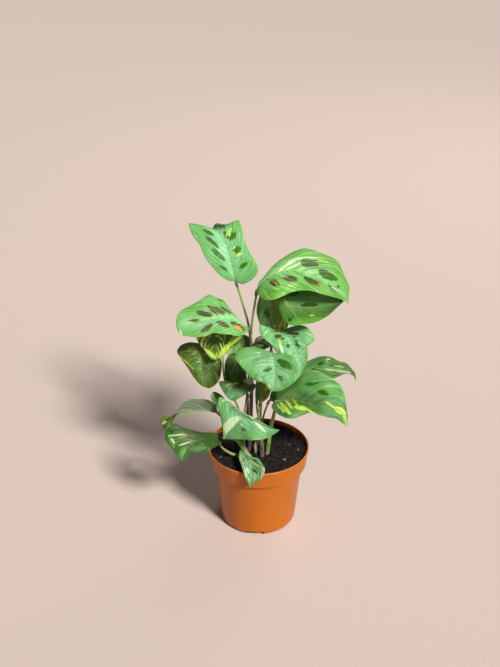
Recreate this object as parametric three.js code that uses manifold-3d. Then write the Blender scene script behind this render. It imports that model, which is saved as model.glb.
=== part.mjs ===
// A potted prayer plant (maranta): a plastic nursery pot, its soil, and the
// leafy shoots that stand in it.  Millimetres, +Z up; the origin is the centre
// of the pot's underside.
import * as THREE from 'three';
import Module from 'manifold-3d';

const wasm = await Module();
wasm.setup();

// ---------------------------------------------------------------- sizes
const RIM_R = 60;            // outer radius of the rolled rim
const POT_H = 100;           // height of the pot
const WALL = 1.4;            // wall of the pot
const COLLAR_H = 21.5;       // depth of the collar under the rim
const COLLAR_R = 57.2;       // outer radius at the collar's lower edge
const BODY_R = 52.3;         // outer radius of the body under the collar
const FOOT_R = 44.8;         // outer radius at the foot
const FLOOR_Z = 6;           // underside of the raised floor ring
const FLOOR_T = 1.8;         // thickness of the pot's floor
const PAD_R = 15;            // flat pad in the middle of the underside
const SOIL_Z = 95.3;         // mean height of the soil's surface
const GAP = 0.35;            // clearance between pieces that touch
const BLADE_T = 0.72;        // thickness of a leaf blade
const PULVINUS = 7;          // length of the swollen joint under a blade, at most
const ROOT_DEPTH = 22;       // how deep a stem stands in the soil

// ------------------------------------------------- points by how they look
// The plant's points are set down the way they are seen from the front: px
// across and py down in a view 500 wide and 667 high, and how far back (mm).
const EYE = [-10, -992, 768];                // where the view is taken from
const DOWN = 27.6 * Math.PI / 180;           // how far it looks down
const REACH = 1000, VIEW_W = 500, VIEW_H = 667;
const seen = (px, py, back) => {
  const a = (px - VIEW_W / 2) / REACH, b = (py - VIEW_H / 2) / REACH;
  const ray = [a, Math.cos(DOWN) - b * Math.sin(DOWN), -Math.sin(DOWN) - b * Math.cos(DOWN)];
  const t = (back - EYE[1]) / ray[1];
  return new THREE.Vector3(EYE[0] + t * ray[0], back, EYE[2] + t * ray[2]);
};
// ---------------------------------------------------------------- leaves
// For each leaf: its midrib from base to tip; its left and its right margin as
// seen from base to tip at the upper face; how far the two halves lean back for
// each step across and down; and [arch of each half, height of the edge's
// waves, how many, where they start].
const LEAVES = {
  leaf_top_left: [
      [[235.5, 281, 12], [231.8, 266, 16], [228.2, 253.2, 21], [224.5, 242.3, 28], [219.5, 233.5, 37],
       [215, 229.3, 47], [212.5, 229.8, 57]],
      [[229, 281], [222.5, 277.3], [216.4, 271.4], [209, 263], [204, 255.5], [199.5, 244.5],
       [194, 237.3], [189.8, 229.5], [188.7, 224.3, 2], [198, 226, 6], [206, 227.6, 5]],
      [[242, 284.2], [250, 281], [258, 271.5], [256, 261], [251.5, 255.3], [247, 246.5], [243.6, 236.5],
       [241.2, 225.5, 3], [238.3, 219.9, 4], [230.5, 223.2, 6], [222, 224.2, 7], [216, 223.6, 5]],
      [[0.1, -0.6], [-0.1, -0.6]], [0.05, 1.0, 3, 0.5]],
  leaf_top_right: [
      [[257, 290, 0], [266, 279, 3], [277, 272.5, 6], [296, 271, 8], [313, 276, 4], [332, 286, -4],
       [343, 294.5, -11], [347, 299, -14.5], [347.9, 304, -18]],
      [[259, 283], [264.4, 277], [272, 266.5], [279, 260], [288, 254.7], [297.8, 250.5], [305, 248.9],
       [313, 250], [322, 252.8], [330, 256], [337.5, 261], [341.5, 269], [345, 277], [349.4, 287.5],
       [349, 293.5], [348.5, 298.5]],
      [[260, 297], [267, 300], [275, 299.7], [283.3, 296.3], [291, 292], [300, 290.2], [312, 291.7],
       [321, 294], [330, 295.8], [338, 298.3], [344, 300.6], [346.8, 302]],
      [[0, -1.2], [0, -1.2]], [0.08, 1.2, 3, 0]],
  leaf_under_top: [
      [[279, 297, 12], [288, 305, 8], [300, 307, 4], [320, 307.5, -4], [335, 304.5, -10], [343.5, 301.5, -15]],
      [[284, 291], [300, 287], [318, 288], [334, 294]],
      [[279, 304], [281, 313], [285, 321], [291, 325.5], [304, 324.5], [320, 320], [331, 313.5], [339, 306]],
      [[0, -1.0], [0, -1.0]], [0.06, 0.8, 2, 1]],
  leaf_back_olive: [
      [[270, 287, 30], [268, 300, 34], [267, 315, 34], [267, 332, 30]],
      [[276, 292], [281, 305], [278, 320], [272, 329]],
      [[264, 290], [258, 301], [256.5, 312], [259, 322], [262, 329]],
      [[0, 0], [0, 0]], [0.08, 0.6, 2, 0]],
  leaf_back_mustard: [
      [[284, 306, 52], [282, 314, 51], [280.5, 324, 49], [280, 335, 46]],
      [[288, 310], [289, 320], [286, 330]],
      [[278, 309], [276, 319], [276, 330]],
      [[0, 0], [0, 0]], [0.08, 0.4, 2, 0]],
  leaf_middle_wavy: [
      [[284, 330, 8], [288, 336, 0], [292, 343, -8], [297, 353, -15], [300.5, 364, -20], [300.5, 375, -22]],
      [[290, 327], [299.3, 325], [307.9, 327.9], [312.3, 333], [314.3, 341.2], [306.5, 342.3],
       [307.3, 349], [308, 357], [306.4, 364.3], [303, 370.5]],
      [[278.5, 330.8], [273.6, 331.4], [266.4, 328.6], [260, 324.6], [260.5, 333], [265, 339.5],
       [270, 344], [276, 351.5], [283, 355.5], [292, 364]],
      [[-0.1, -0.7], [0.35, -0.6]], [0.06, 1.4, 3, 2]],
  leaf_front_centre: [
      [[272.5, 353, -26], [274, 362, -32], [275, 370, -37], [274.5, 380, -42], [273, 391.5, -46]],
      [[279, 353], [286, 355], [293, 356.6], [297.5, 364.5], [300.7, 372.8], [296.4, 380], [288, 387],
       [281, 390.6]],
      [[268, 350.6], [261, 348.3], [253.6, 347.1], [242, 348.8], [234.8, 357], [240, 365], [245.5, 371.8],
       [250.5, 377.5], [257, 381.2], [264, 383], [268.5, 388.8]],
      [[-0.1, -0.5], [0.15, -0.6]], [0.07, 1.2, 3, 1]],
  leaf_left_blotched: [
      [[248.5, 328.5, -5], [240, 322, -7], [225, 318, -10], [212, 319, -13], [198, 322, -16],
       [185, 325.5, -19], [176.5, 327, -21]],
      [[245, 333.5], [238, 336], [230, 335], [222, 334], [214, 332.5], [207, 336], [199, 337.5],
       [189, 336], [180.5, 334.5]],
      [[243, 325], [236.5, 318.5], [231, 311.3], [227.4, 305.8], [223.8, 300.2], [218.5, 298], [211, 295],
       [200, 300.5], [189, 305.8], [181, 311], [176.5, 319]],
      [[0, -1.0], [0, -1.1]], [0.07, 1.2, 3, 2]],
  leaf_left_yellow: [
      [[228, 314, 12], [222, 326, 7], [218, 338, 2], [217, 350, -2], [216, 360, -4]],
      [[236, 320], [242, 330], [241, 337], [236, 342], [231, 346], [226, 353], [221, 357.5]],
      [[218, 316], [203, 324], [196, 334], [199, 344], [204, 350], [209, 357], [213, 360]],
      [[0.1, -0.8], [-0.1, -0.8]], [0.06, 0.8, 2, 0]],
  leaf_left_inner: [
      [[250, 338, 15], [243, 341, 14], [236, 345, 13], [230, 350, 12], [226, 353.5, 12]],
      [[249.5, 346], [246, 351.5], [239.5, 355.5], [232, 356]],
      [[245, 335], [237, 336], [230, 341], [226, 347.5]],
      [[0, -0.2], [0, -0.2]], [0.06, 0.5, 2, 0]],
  leaf_left_olive: [
      [[213, 348, 11], [206, 354, 9], [202, 364, 6], [203, 376, 2], [208, 388.3, -2]],
      [[218, 354], [221.3, 361], [221.5, 370], [219.3, 379.5], [214, 386]],
      [[206, 345], [197, 343], [188, 342.5], [180, 346], [177, 350.5], [181.5, 359], [188, 368.5],
       [194, 377.5], [200, 384.5]],
      [[0, -0.5], [0.2, -0.5]], [0.06, 1, 2, 1]],
  leaf_left_dark: [
      [[243, 357.5, 6], [237, 362, 5.5], [232, 371, 5], [229, 384, 4.5]],
      [[246, 362], [246.5, 372], [245, 380], [238, 384.5]],
      [[237, 353.5], [230, 354.5], [225.5, 361], [224.6, 370], [225.2, 379]],
      [[0, -0.2], [0, -0.2]], [0.06, 0.6, 2, 0]],
  leaf_low_dark: [
      [[254, 384.5, -9], [246, 387, -12], [238, 391.5, -15], [230.5, 400, -17]],
      [[252.8, 388.5], [249, 392], [243.5, 395.6], [237.5, 399], [233.8, 400.6]],
      [[253, 379.5], [247, 378.5], [240, 381], [229, 381], [219, 382], [222, 389.5], [226.2, 396]],
      [[0, -0.5], [0, -0.5]], [0.06, 0.6, 2, 0]],
  leaf_small_oval: [
      [[261, 402, -18], [261.5, 394, -20], [263, 387, -21], [265.5, 379, -21]],
      [[257, 398.5], [255.5, 391], [258, 383]],
      [[266.5, 399.5], [270, 393], [270.5, 385]],
      [[0, -0.2], [0, -0.2]], [0.06, 0.4, 2, 0]],
  leaf_right_big: [
      [[276, 401.5, -15], [286, 400.5, -18], [298, 401, -22], [312, 404.5, -27], [328, 409, -33],
       [340, 416, -38], [347, 425.7, -42]],
      [[276, 394], [282, 384], [293, 374], [306, 370], [318, 371], [327, 375.5], [335, 380.7], [342, 387],
       [345, 397], [347, 411], [347.8, 418]],
      [[271.5, 406], [276, 412], [281, 417], [287, 419], [294, 417.8], [302, 415], [309, 413.5],
       [317, 415.3], [328, 417], [336.4, 418.6], [341.5, 422.6]],
      [[0, -0.5], [0, -1.9]], [0.05, 1.4, 3, 0]],
  leaf_right_pointed: [
      [[270, 400, -2], [280, 391, 3], [292, 381, 8], [306, 370.5, 12], [320, 366, 12], [334, 368, 8],
       [346, 371, 3], [353.8, 374.5, -1.5], [355.8, 380.2, -4.5]],
      [[271, 393], [282, 380], [295, 370], [306, 362], [314, 358], [322, 356], [331, 357.3], [339, 361.3],
       [346.3, 362.9], [351.5, 368.5], [355, 373.2]],
      [[276, 402], [288, 398], [302, 388], [314, 380], [324, 377], [332, 378.4], [338, 376.4],
       [343, 374.3], [349.3, 374], [353.8, 376.5]],
      [[0, -0.9], [0, -0.9]], [0.06, 1.2, 3, 1]],
  leaf_front_cream: [
      [[223.5, 437.5, -31], [233, 427.5, -32], [243.5, 418.7, -34], [254, 420.3, -38], [266, 426.5, -43],
       [279, 430.2, -49]],
      [[222.3, 428], [220, 417], [217.7, 405], [219.6, 397.2], [225, 400], [233.6, 405.7], [243.6, 411.4],
       [252.5, 417.2], [261, 422.3], [270.7, 427]],
      [[228, 439], [236, 439], [245, 439.8], [254, 440.3], [262, 439.5], [268, 437.5], [274.5, 434]],
      [[0.1, -0.6], [0, -0.8]], [0.07, 1.2, 3, 2]],
  leaf_curled_grey: [
      [[217, 412.5, -9], [205, 411, -14], [193, 412.8, -18], [183, 414.7, -17.5], [174.5, 418.2, -15.5],
       [171, 424.5, -13.5], [167, 431, -12]],
      [[215, 404], [208, 399.8], [200, 398.2], [192, 398.5], [185.5, 401.2], [179.7, 408], [176, 415],
       [172.3, 421.5]],
      [[212, 408, 10], [203, 406, 16], [192, 407, 18], [182, 410, 17], [174, 414.5, 8], [160, 419.3],
       [162.3, 426]],
      [[0, 0.5], [0, -0.5]], [0.04, 0.6, 2, 0]],
  leaf_low_left: [
      [[219.5, 441, -22], [211, 438.5, -27], [200, 440.5, -32], [190, 446, -37], [184.5, 453, -41],
       [182.5, 462, -45]],
      [[219, 444], [213, 448], [208, 451.5], [200, 452], [192, 453.5], [187, 458]],
      [[221, 435], [212, 432.5], [200, 432.5], [192, 430], [183, 427], [173, 423.5], [165.5, 430],
       [165, 438], [168, 444], [177, 455.5]],
      [[0, -0.9], [0.1, -0.8]], [0.06, 1.2, 3, 1]],
  leaf_front_small: [
      [[240.5, 451, -25], [246, 459, -36.4], [251, 467, -50], [252, 474, -60.5], [250.8, 480, -65],
       [249.7, 487, -67]],
      [[244.8, 452.8], [248.8, 456.8], [253.8, 457.2], [258.5, 458.6], [261.5, 463], [265, 469], [264, 474.5],
       [258.9, 480.8], [253, 484]],
      [[239, 455], [240.3, 462], [243.3, 471.6], [246.5, 479]],
      [[-0.6, -1.2], [0.8, -1.2]], [0.04, 0.6, 2, 0]],
  leaf_low_olive: [
      [[225, 406, 6], [219.5, 401, 5], [214.5, 397, 4], [210.5, 395, 3]],
      [[221, 410], [215.5, 405], [211.5, 399.5]],
      [[225, 400], [219, 393.5], [213.5, 392]],
      [[0, -0.3], [0, -0.3]], [0.06, 0.4, 2, 0]],
  leaf_middle_grey: [
      [[254, 344, 14], [260, 341.5, 14], [266, 341.5, 13], [272, 344, 12]],
      [[256, 338], [262, 335.5], [268, 338]],
      [[256, 348.5], [262, 349.5], [268, 348]],
      [[0, -0.2], [0, -0.2]], [0.05, 0.4, 2, 0]],
};

// ---------------------------------------------------------------- stems
// For each shoot: the line of its main stem from the soil up; and the stem's
// radius at the soil and at the top.
const SHOOTS = {
  stem_centre: [[[249.5, 451.5, -3], [250.5, 425, -1], [251.5, 392, 5], [251.5, 370, 8], [251, 347, 8]],
                  [2.8, 1.9]],
  stem_left_purple: [[[246, 446, 8], [247, 425, 9], [247.5, 400, 8], [246, 380, 11], [244, 364, 16]],
                       [2.1, 1.4]],
  stem_left_olive: [[[243.5, 452, -3], [244.5, 425, -4], [245, 408, -4]], [2.1, 1.5]],
  stem_back: [[[259, 447, 6], [259.5, 425, 8], [261, 400, 14], [266, 375, 24], [271, 350, 36],
                 [273, 334, 45]], [2.6, 1.6]],
  stem_front_pink: [[[262, 458, -15], [261.5, 441, -15], [259.5, 422, -13], [258, 411, -12]], [2.9, 1.8]],
  stem_right: [[[267, 456, -10], [269, 440, -12], [272, 421, -14]], [2.7, 2.3]],
  stem_low_left: [[[250, 457.8, -20.5], [247, 454, -22]], [2.9, 2.8]],
  stem_low_thin: [[[238, 456.6, -19.5], [231.5, 453.8, -21]], [1.7, 1.6]],
  stem_small_front: [[[242.5, 460.5, -26], [241.5, 457.5, -26.3]], [1.5, 1.4]],
  stem_bud: [[[255.5, 454.5, -9], [255.5, 448, -9]], [1.9, 2.1]],
};
// For each leaf's petiole: the shoot it grows from; the line from inside the
// shoot to the leaf's base; and its radius at each end.
const PETIOLES = {
  leaf_top_left: ["stem_centre", [[251, 352, 8], [249.5, 330, 10], [243, 305, 11.5], [238.5, 290, 12]],
                    [1.6, 1.15]],
  leaf_top_right: ["stem_centre", [[251, 352, 8], [251, 333, 4], [253.5, 312, 1], [256, 297, 0]],
                     [1.6, 1.25]],
  leaf_left_blotched: ["stem_centre", [[251, 352, 8], [251.5, 343, 1], [250.8, 335, -3.5]], [1.5, 1.2]],
  leaf_middle_grey: ["stem_back", [[265, 378, 23], [257, 360, 21], [252.5, 348, 17]], [1.2, 1.0]],
  leaf_back_olive: ["stem_back", [[272.5, 340, 43], [274, 312, 47], [273, 295, 41]], [1.4, 1.1]],
  leaf_under_top: ["stem_back", [[272.5, 340, 43], [276, 328.3, 41], [281.3, 317.7, 40], [286, 304, 37],
                                   [284.5, 296, 26]], [1.4, 1.1]],
  leaf_back_mustard: ["stem_back", [[272.5, 340, 43], [276.5, 325, 55], [282.5, 309, 58]], [1.2, 1.0]],
  leaf_middle_wavy: ["stem_back", [[265, 378, 23], [277, 357, 17], [283, 343, 8], [284, 336, 6]],
                       [1.4, 1.1]],
  leaf_right_pointed: ["stem_back", [[259.2, 436, 7.2], [262.5, 420, 4], [266.5, 407, 0]], [1.3, 1.1]],
  leaf_left_inner: ["stem_left_purple", [[244.2, 367, 15.5], [247, 352, 19], [250, 343, 18]], [1.2, 1.0]],
  leaf_left_yellow: ["stem_left_olive", [[244.4, 428, -3.9], [240, 413, -6], [236.2, 403, -5],
                                           [229.5, 391, -1.5], [224.6, 379, 0.5], [223.2, 367, 1.5],
                                           [223, 357, 5], [224.5, 343, 14], [229, 325, 19.5]], [1.3, 1.0]],
  leaf_left_olive: ["stem_left_purple", [[244.2, 367, 15.5], [232, 354, 22], [220, 346.5, 17]],
                      [1.3, 1.0]],
  leaf_left_dark: ["stem_left_olive", [[245, 412, -4], [247, 394, 0], [248.5, 375, 5], [247.5, 363, 8]],
                     [1.2, 1.0]],
  leaf_low_dark: ["stem_left_olive", [[245, 412, -4], [249, 396, -3.5], [253.5, 389, -6.5]], [1.2, 1.0]],
  leaf_low_olive: ["stem_left_olive", [[244.9, 418, -4], [238, 410, 2], [230, 407, 6]], [1.1, 0.9]],
  leaf_front_centre: ["stem_front_pink", [[258.3, 414, -12], [256.5, 395, -4], [260, 370, -6],
                                            [268, 355, -16]], [1.6, 1.3]],
  leaf_small_oval: ["stem_front_pink", [[258.3, 414, -12], [260, 407, -16]], [1.2, 0.9]],
  leaf_right_big: ["stem_right", [[271.5, 424, -13.8], [275, 409, -15]], [2.2, 1.7]],
  leaf_front_cream: ["stem_low_left", [[247.6, 455, -21.6], [242.2, 447.3, -23.5], [236.5, 440.3, -26.5],
                                         [229.5, 438, -28.5]], [2.5, 1.5]],
  leaf_curled_grey: ["stem_low_left", [[247.6, 455, -21.6], [244.3, 447, -16.5], [236, 436.5, -13],
                                         [225, 423, -9]], [2.0, 1.3]],
  leaf_low_left: ["stem_low_thin", [[233.5, 454.8, -20.6], [227.5, 451.5, -21.5], [223, 448.5, -21.5],
                                      [220.3, 444.8, -21.5]], [1.6, 1.2]],
  leaf_front_small: ["stem_small_front", [[241.8, 458.5, -26.2], [240.6, 454.8, -26]], [1.3, 1.0]],
};

// ------------------------------------------------------- solids and meshes
// A smooth line through points, read by the share u of its length.
function line(points) {
  const n = points.length, at = [0];
  for (let i = 1; i < n; i++) at.push(at[i - 1] + points[i].distanceTo(points[i - 1]));
  const total = at[n - 1];
  for (let i = 0; i < n; i++) at[i] /= total;
  const slope = (i) => points[i + 1].clone().sub(points[i]).divideScalar(at[i + 1] - at[i]);
  const tan = points.map((p, i) => {
    if (i === 0) return slope(0);
    if (i === n - 1) return slope(n - 2);
    const w = (at[i + 1] - at[i]) / (at[i + 1] - at[i - 1]);
    return slope(i - 1).multiplyScalar(w).addScaledVector(slope(i), 1 - w);
  });
  if (n > 2) {
    tan[0].multiplyScalar(1.5).addScaledVector(tan[1], -0.5);
    tan[n - 1].multiplyScalar(1.5).addScaledVector(tan[n - 2], -0.5);
  }
  const read = (u) => {
    let k = 0;
    while (k < n - 2 && u > at[k + 1]) k++;
    const h = at[k + 1] - at[k], s = Math.min(1, Math.max(0, (u - at[k]) / h));
    const s2 = s * s, s3 = s2 * s;
    return points[k].clone().multiplyScalar(2 * s3 - 3 * s2 + 1)
      .addScaledVector(tan[k], h * (s3 - 2 * s2 + s))
      .addScaledVector(points[k + 1], 3 * s2 - 2 * s3)
      .addScaledVector(tan[k + 1], h * (s3 - s2));
  };
  read.length_mm = total;
  return read;
}

const solid = (vertices, faces) => new wasm.Manifold(new wasm.Mesh({
  numProp: 3,
  vertProperties: new Float32Array(vertices),
  triVerts: new Uint32Array(faces)
}));

// A round stem along a line, with flat ends square to it.
function tube(read, from, to, r0, r1, steps, sides = 8) {
  const pos = [], tri = [];
  const e = 1e-3;
  let side = new THREE.Vector3(1, 0, 0);
  for (let i = 0; i <= steps; i++) {
    const s = i / steps, u = from + (to - from) * s;
    const p = read(u);
    const t = read(Math.min(1, u + e)).sub(read(Math.max(0, u - e))).normalize();
    side.addScaledVector(t, -side.dot(t)).normalize();
    const up = new THREE.Vector3().crossVectors(t, side);
    const r = r0 + (r1 - r0) * s;
    for (let k = 0; k < sides; k++) {
      const a = 2 * Math.PI * k / sides;
      const q = p.clone().addScaledVector(side, r * Math.cos(a)).addScaledVector(up, r * Math.sin(a));
      pos.push(q.x, q.y, q.z);
    }
  }
  for (let i = 0; i < steps; i++) for (let k = 0; k < sides; k++) {
    const a = i * sides + k, b = i * sides + (k + 1) % sides;
    tri.push(a, b, b + sides, a, b + sides, a + sides);
  }
  for (let k = 1; k < sides - 1; k++) {
    tri.push(0, k + 1, k);
    const o = steps * sides;
    tri.push(o, o + k, o + k + 1);
  }
  return solid(pos, tri);
}

// The sheet of points of a blade: rows from base to tip, and across from the
// left margin to the right one.
function sheet(row, rows, half) {
  const [rib, left, right, lean, [arch, amp, waves, phase]] = row;
  const ribLine = line(rib.map((p) => seen(...p)));
  const look = (p) => {                      // where a point is seen
    const d = p.clone().sub(new THREE.Vector3(...EYE));
    const far = d.y * Math.cos(DOWN) - d.z * Math.sin(DOWN);
    const up = d.y * Math.sin(DOWN) + d.z * Math.cos(DOWN);
    return [VIEW_W / 2 + REACH * d.x / far, VIEW_H / 2 - REACH * up / far];
  };
  const margin = (pts, [gx, gy]) => {
    const all = [rib[0], ...pts, rib[rib.length - 1]], at = [0];
    for (let i = 1; i < all.length; i++)
      at.push(at[i - 1] + Math.hypot(all[i][0] - all[i - 1][0], all[i][1] - all[i - 1][1]));
    const out = [seen(...rib[0])];
    pts.forEach((p, i) => {
      const r = ribLine(at[i + 1] / at[all.length - 1]), v = look(r);
      out.push(seen(p[0], p[1], r.y + gx * (p[0] - v[0]) + gy * (p[1] - v[1]) + (p[2] ?? 0)));
    });
    out.push(seen(...rib[rib.length - 1]));
    return line(out);
  };
  const a = margin(left, lean[0]), b = margin(right, lean[1]);
  const grid = [], across = 2 * half + 1;
  for (let i = 0; i <= rows; i++) {
    const u = i / rows, R = ribLine(u), A = a(u), B = b(u), r = [];
    for (let j = 0; j < across; j++) {
      const v = j / half - 1, E = v < 0 ? A : B;
      r.push(R.clone().lerp(E, Math.abs(v)));
    }
    r.wide = A.distanceTo(B) / 2;
    grid.push(r);
  }
  const normals = () => {
    const N = grid.map((r, i) => r.map((_, j) => {
      const i0 = Math.max(0, i - 1), i1 = Math.min(rows, i + 1);
      const j0 = Math.max(0, j - 1), j1 = Math.min(across - 1, j + 1);
      const du = grid[i1][j].clone().sub(grid[i0][j]), dv = grid[i][j1].clone().sub(grid[i][j0]);
      return dv.cross(du).normalize();
    }));
    N[0] = N[1].map((n) => n.clone());
    N[rows] = N[rows - 1].map((n) => n.clone());
    return N;
  };
  const N = normals();
  const s0 = grid[1][across - 1].clone().sub(grid[1][0]).normalize();
  const s1 = grid[rows - 1][across - 1].clone().sub(grid[rows - 1][0]).normalize();
  for (let j = 0; j < across; j++) {
    const v = j / half - 1;
    grid[0][j].addScaledVector(s0, 1.1 * v);
    grid[rows][j].addScaledVector(s1, 0.5 * v);
  }
  for (let i = 0; i <= rows; i++) for (let j = 0; j < across; j++) {
    const u = i / rows, v = j / half - 1, x = Math.abs(v);
    const turn = 2 * Math.PI * waves * u + phase + (v < 0 ? 0 : 1.7);
    const fade = Math.sqrt(Math.max(0, Math.sin(Math.PI * u)));
    const bow = arch * grid[i].wide * 4 * x * (1 - x);
    grid[i][j].addScaledVector(N[i][j], bow + amp * x * x * Math.sin(turn) * fade);
  }
  return { grid, normals: normals(), rib: ribLine };
}

// A blade: the sheet thickened to both sides, split alike on both faces.
function blade(row, rows, half) {
  const { grid, normals, rib } = sheet(row, rows, half);
  const across = 2 * half + 1, n = (rows + 1) * across;
  const pos = [], tri = [];
  for (const side of [0.5, -0.5]) grid.forEach((r, i) => r.forEach((p, j) => {
    const q = p.clone().addScaledVector(normals[i][j], side * BLADE_T);
    pos.push(q.x, q.y, q.z);
  }));
  const id = (i, j) => i * across + j;
  for (let i = 0; i < rows; i++) for (let j = 0; j < across - 1; j++) {
    const a = id(i, j), b = id(i, j + 1), c = id(i + 1, j + 1), d = id(i + 1, j);
    const quads = j < half ? [[a, b, c], [a, c, d]] : [[a, b, d], [b, c, d]];
    for (const [p, q, r] of quads) tri.push(p, q, r, n + p, n + r, n + q);
  }
  const rim = [];
  for (let j = 0; j < across; j++) rim.push(id(0, j));
  for (let i = 1; i <= rows; i++) rim.push(id(i, across - 1));
  for (let j = across - 2; j >= 0; j--) rim.push(id(rows, j));
  for (let i = rows - 1; i > 0; i--) rim.push(id(i, 0));
  rim.forEach((a, k) => {
    const b = rim[(k + 1) % rim.length];
    tri.push(a, n + a, n + b, a, n + b, b);
  });
  return { body: solid(pos, tri), rib };
}

const lathe = (profile, sides) => {
  const g = new THREE.LatheGeometry(profile.map(([r, z]) => new THREE.Vector2(r, z)), sides);
  g.rotateX(Math.PI / 2);
  return fromGeometry(g);
};

// A closed three.js geometry as a solid, with its doubled vertices joined.
function fromGeometry(g) {
  const p = g.getAttribute('position');
  const idx = g.index ? Array.from(g.index.array) : [...Array(p.count).keys()];
  const key = new Map(), pos = [], map = [];
  for (let i = 0; i < p.count; i++) {
    const at = [p.getX(i), p.getY(i), p.getZ(i)], k = at.map((v) => Math.round(v * 2000)).join();
    if (!key.has(k)) {
      key.set(k, pos.length / 3);
      pos.push(...at);
    }
    map.push(key.get(k));
  }
  const tri = [];
  for (let i = 0; i < idx.length; i += 3) {
    const [a, b, c] = [map[idx[i]], map[idx[i + 1]], map[idx[i + 2]]];
    if (a !== b && b !== c && a !== c) tri.push(a, b, c);
  }
  return solid(pos, tri);
}

const part = new THREE.Group();
function place(name, body, colour, roughness) {
  const m = body.getMesh(), g = new THREE.BufferGeometry();
  const pos = new Float32Array(m.numVert * 3);
  for (let i = 0; i < m.numVert; i++) for (let k = 0; k < 3; k++)
    pos[3 * i + k] = m.vertProperties[i * m.numProp + k];
  g.setAttribute('position', new THREE.BufferAttribute(pos, 3));
  g.setIndex(new THREE.BufferAttribute(new Uint32Array(m.triVerts), 1));
  const surface = new THREE.MeshStandardMaterial({ color: colour, roughness, metalness: 0 });
  const mesh = new THREE.Mesh(g, surface);
  mesh.name = name;
  part.add(mesh);
}

// ---------------------------------------------------------------- pot
const INNER_R = FOOT_R - WALL;               // inside the foot of the wall
const FLOOR_TOP = FLOOR_Z + FLOOR_T;
const EDGE_Z = POT_H - COLLAR_H;             // lower edge of the collar
const SEGS = 44;
// The inside of the wall from the floor up, with the ledge behind the collar.
const INSIDE = [
  [INNER_R, FLOOR_TOP + 2], [BODY_R - WALL - 0.1, EDGE_Z + 0.9],
  [COLLAR_R - WALL - 0.2, EDGE_Z + 1.6], [RIM_R - 2, POT_H - 0.7]
];
let pot = lathe([
  [0, 0], [PAD_R, 0], [PAD_R + 1.5, FLOOR_Z], [FOOT_R - 8, FLOOR_Z], [FOOT_R - 7, 0],
  [FOOT_R - 5, 0], [FOOT_R - 2, 1.2], [FOOT_R - 0.5, 3.6], [FOOT_R, 6],
  [BODY_R, EDGE_Z - 0.6], [COLLAR_R - 0.5, EDGE_Z - 0.4], [COLLAR_R, EDGE_Z + 0.3],
  [RIM_R - 0.8, POT_H - 3.4], [RIM_R, POT_H - 2.4], [RIM_R, POT_H - 0.7], [RIM_R - 0.6, POT_H],
  [RIM_R - 1.5, POT_H], ...[...INSIDE].reverse(), [INNER_R - 1.6, FLOOR_TOP], [0, FLOOR_TOP]
], SEGS);
// Four notches through the foot, and eight drain holes in the raised floor.
const NOTCH_W = 18.2, NOTCH_H = 5.4, NOTCH_TURN = -3.6;
for (let k = 0; k < 4; k++) {
  const g = new THREE.BoxGeometry(NOTCH_W, 16, NOTCH_H * 2);
  g.translate(0, 2 - FOOT_R, 0);
  g.rotateZ((90 * k + NOTCH_TURN) * Math.PI / 180);
  pot = pot.subtract(fromGeometry(g));
}
const DRAIN_R = 3.6, DRAIN_AT = 28;
for (let k = 0; k < 8; k++) {
  const g = new THREE.CylinderGeometry(DRAIN_R, DRAIN_R, 12, 12);
  g.rotateX(Math.PI / 2);
  const a = (22.5 + 45 * k) * Math.PI / 180;
  g.translate(DRAIN_AT * Math.cos(a), DRAIN_AT * Math.sin(a), FLOOR_TOP);
  pot = pot.subtract(fromGeometry(g));
}
place('pot', pot, 0xc76f2f, 0.42);

// ---------------------------------------------------------------- stems
const clumps = new Map();
const holes = [];
for (const [name, [pts, [r0, r1]]] of Object.entries(SHOOTS)) {
  const path = pts.map((p) => seen(...p));
  const foot = path[0].clone().setZ(SOIL_Z - ROOT_DEPTH);
  const knee = path[0].clone().setZ(SOIL_Z - 6);
  const read = line([foot, knee, ...path]);
  const steps = Math.max(3, Math.round(read.length_mm / 16));
  clumps.set(name, tube(read, GAP / read.length_mm, 1, r0, r1, steps));
  // its hole follows the same line, a little wider
  holes.push(tube(read, 0, 1, r0 + GAP + 0.1, r1 + GAP + 0.1, steps));
}

// ---------------------------------------------------------------- leaves
const LARGE = 60;                            // midrib of a leaf with a fine grid
const LEAF_GREEN = {
  leaf_top_left: 0x6fb062, leaf_top_right: 0x6bb548, leaf_under_top: 0x2f7a22, leaf_back_olive: 0x4c6a1c,
  leaf_back_mustard: 0x6b6a10, leaf_middle_wavy: 0x66b060, leaf_front_centre: 0x5faa55, leaf_left_blotched: 0x74b565,
  leaf_left_yellow: 0x5a8a1e, leaf_left_inner: 0x5f8a30, leaf_left_olive: 0x50681c, leaf_left_dark: 0x36522a,
  leaf_low_dark: 0x33622f, leaf_small_oval: 0x44641e, leaf_right_big: 0x4f9a45, leaf_right_pointed: 0x4b8a44,
  leaf_front_cream: 0x6fae67, leaf_curled_grey: 0x8fa690, leaf_low_left: 0x3a5a22, leaf_front_small: 0x5f9f6a,
  leaf_low_olive: 0x5c6c38, leaf_middle_grey: 0x5b7a45
};
for (const [name, row] of Object.entries(LEAVES)) {
  const big = line(row[0].map((p) => seen(...p))).length_mm > LARGE;
  const { body, rib } = blade(row, big ? 12 : 7, big ? 3 : 2);
  const [shoot, pts, [r0, r1]] = PETIOLES[name];
  const base = rib(0), inside = Math.min(0.3, 4.5 / rib.length_mm);
  const read = line([...pts.map((p) => seen(...p)), base, rib(inside)]);
  const L = read.length_mm, end = (L - 4.5 - Math.min(PULVINUS, 0.35 * L)) / L;
  const joint = tube(read, end, (L - 1.0) / L, r1 * 1.32, r1 * 0.75, 3, 6);
  place(name, body.add(joint), LEAF_GREEN[name], 0.45);
  const steps = Math.max(2, Math.round(L / 14));
  const stalk = tube(read, 0, end - GAP / L, r0, r1, steps, 6);
  clumps.set(shoot, clumps.get(shoot).add(stalk));
}
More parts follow.
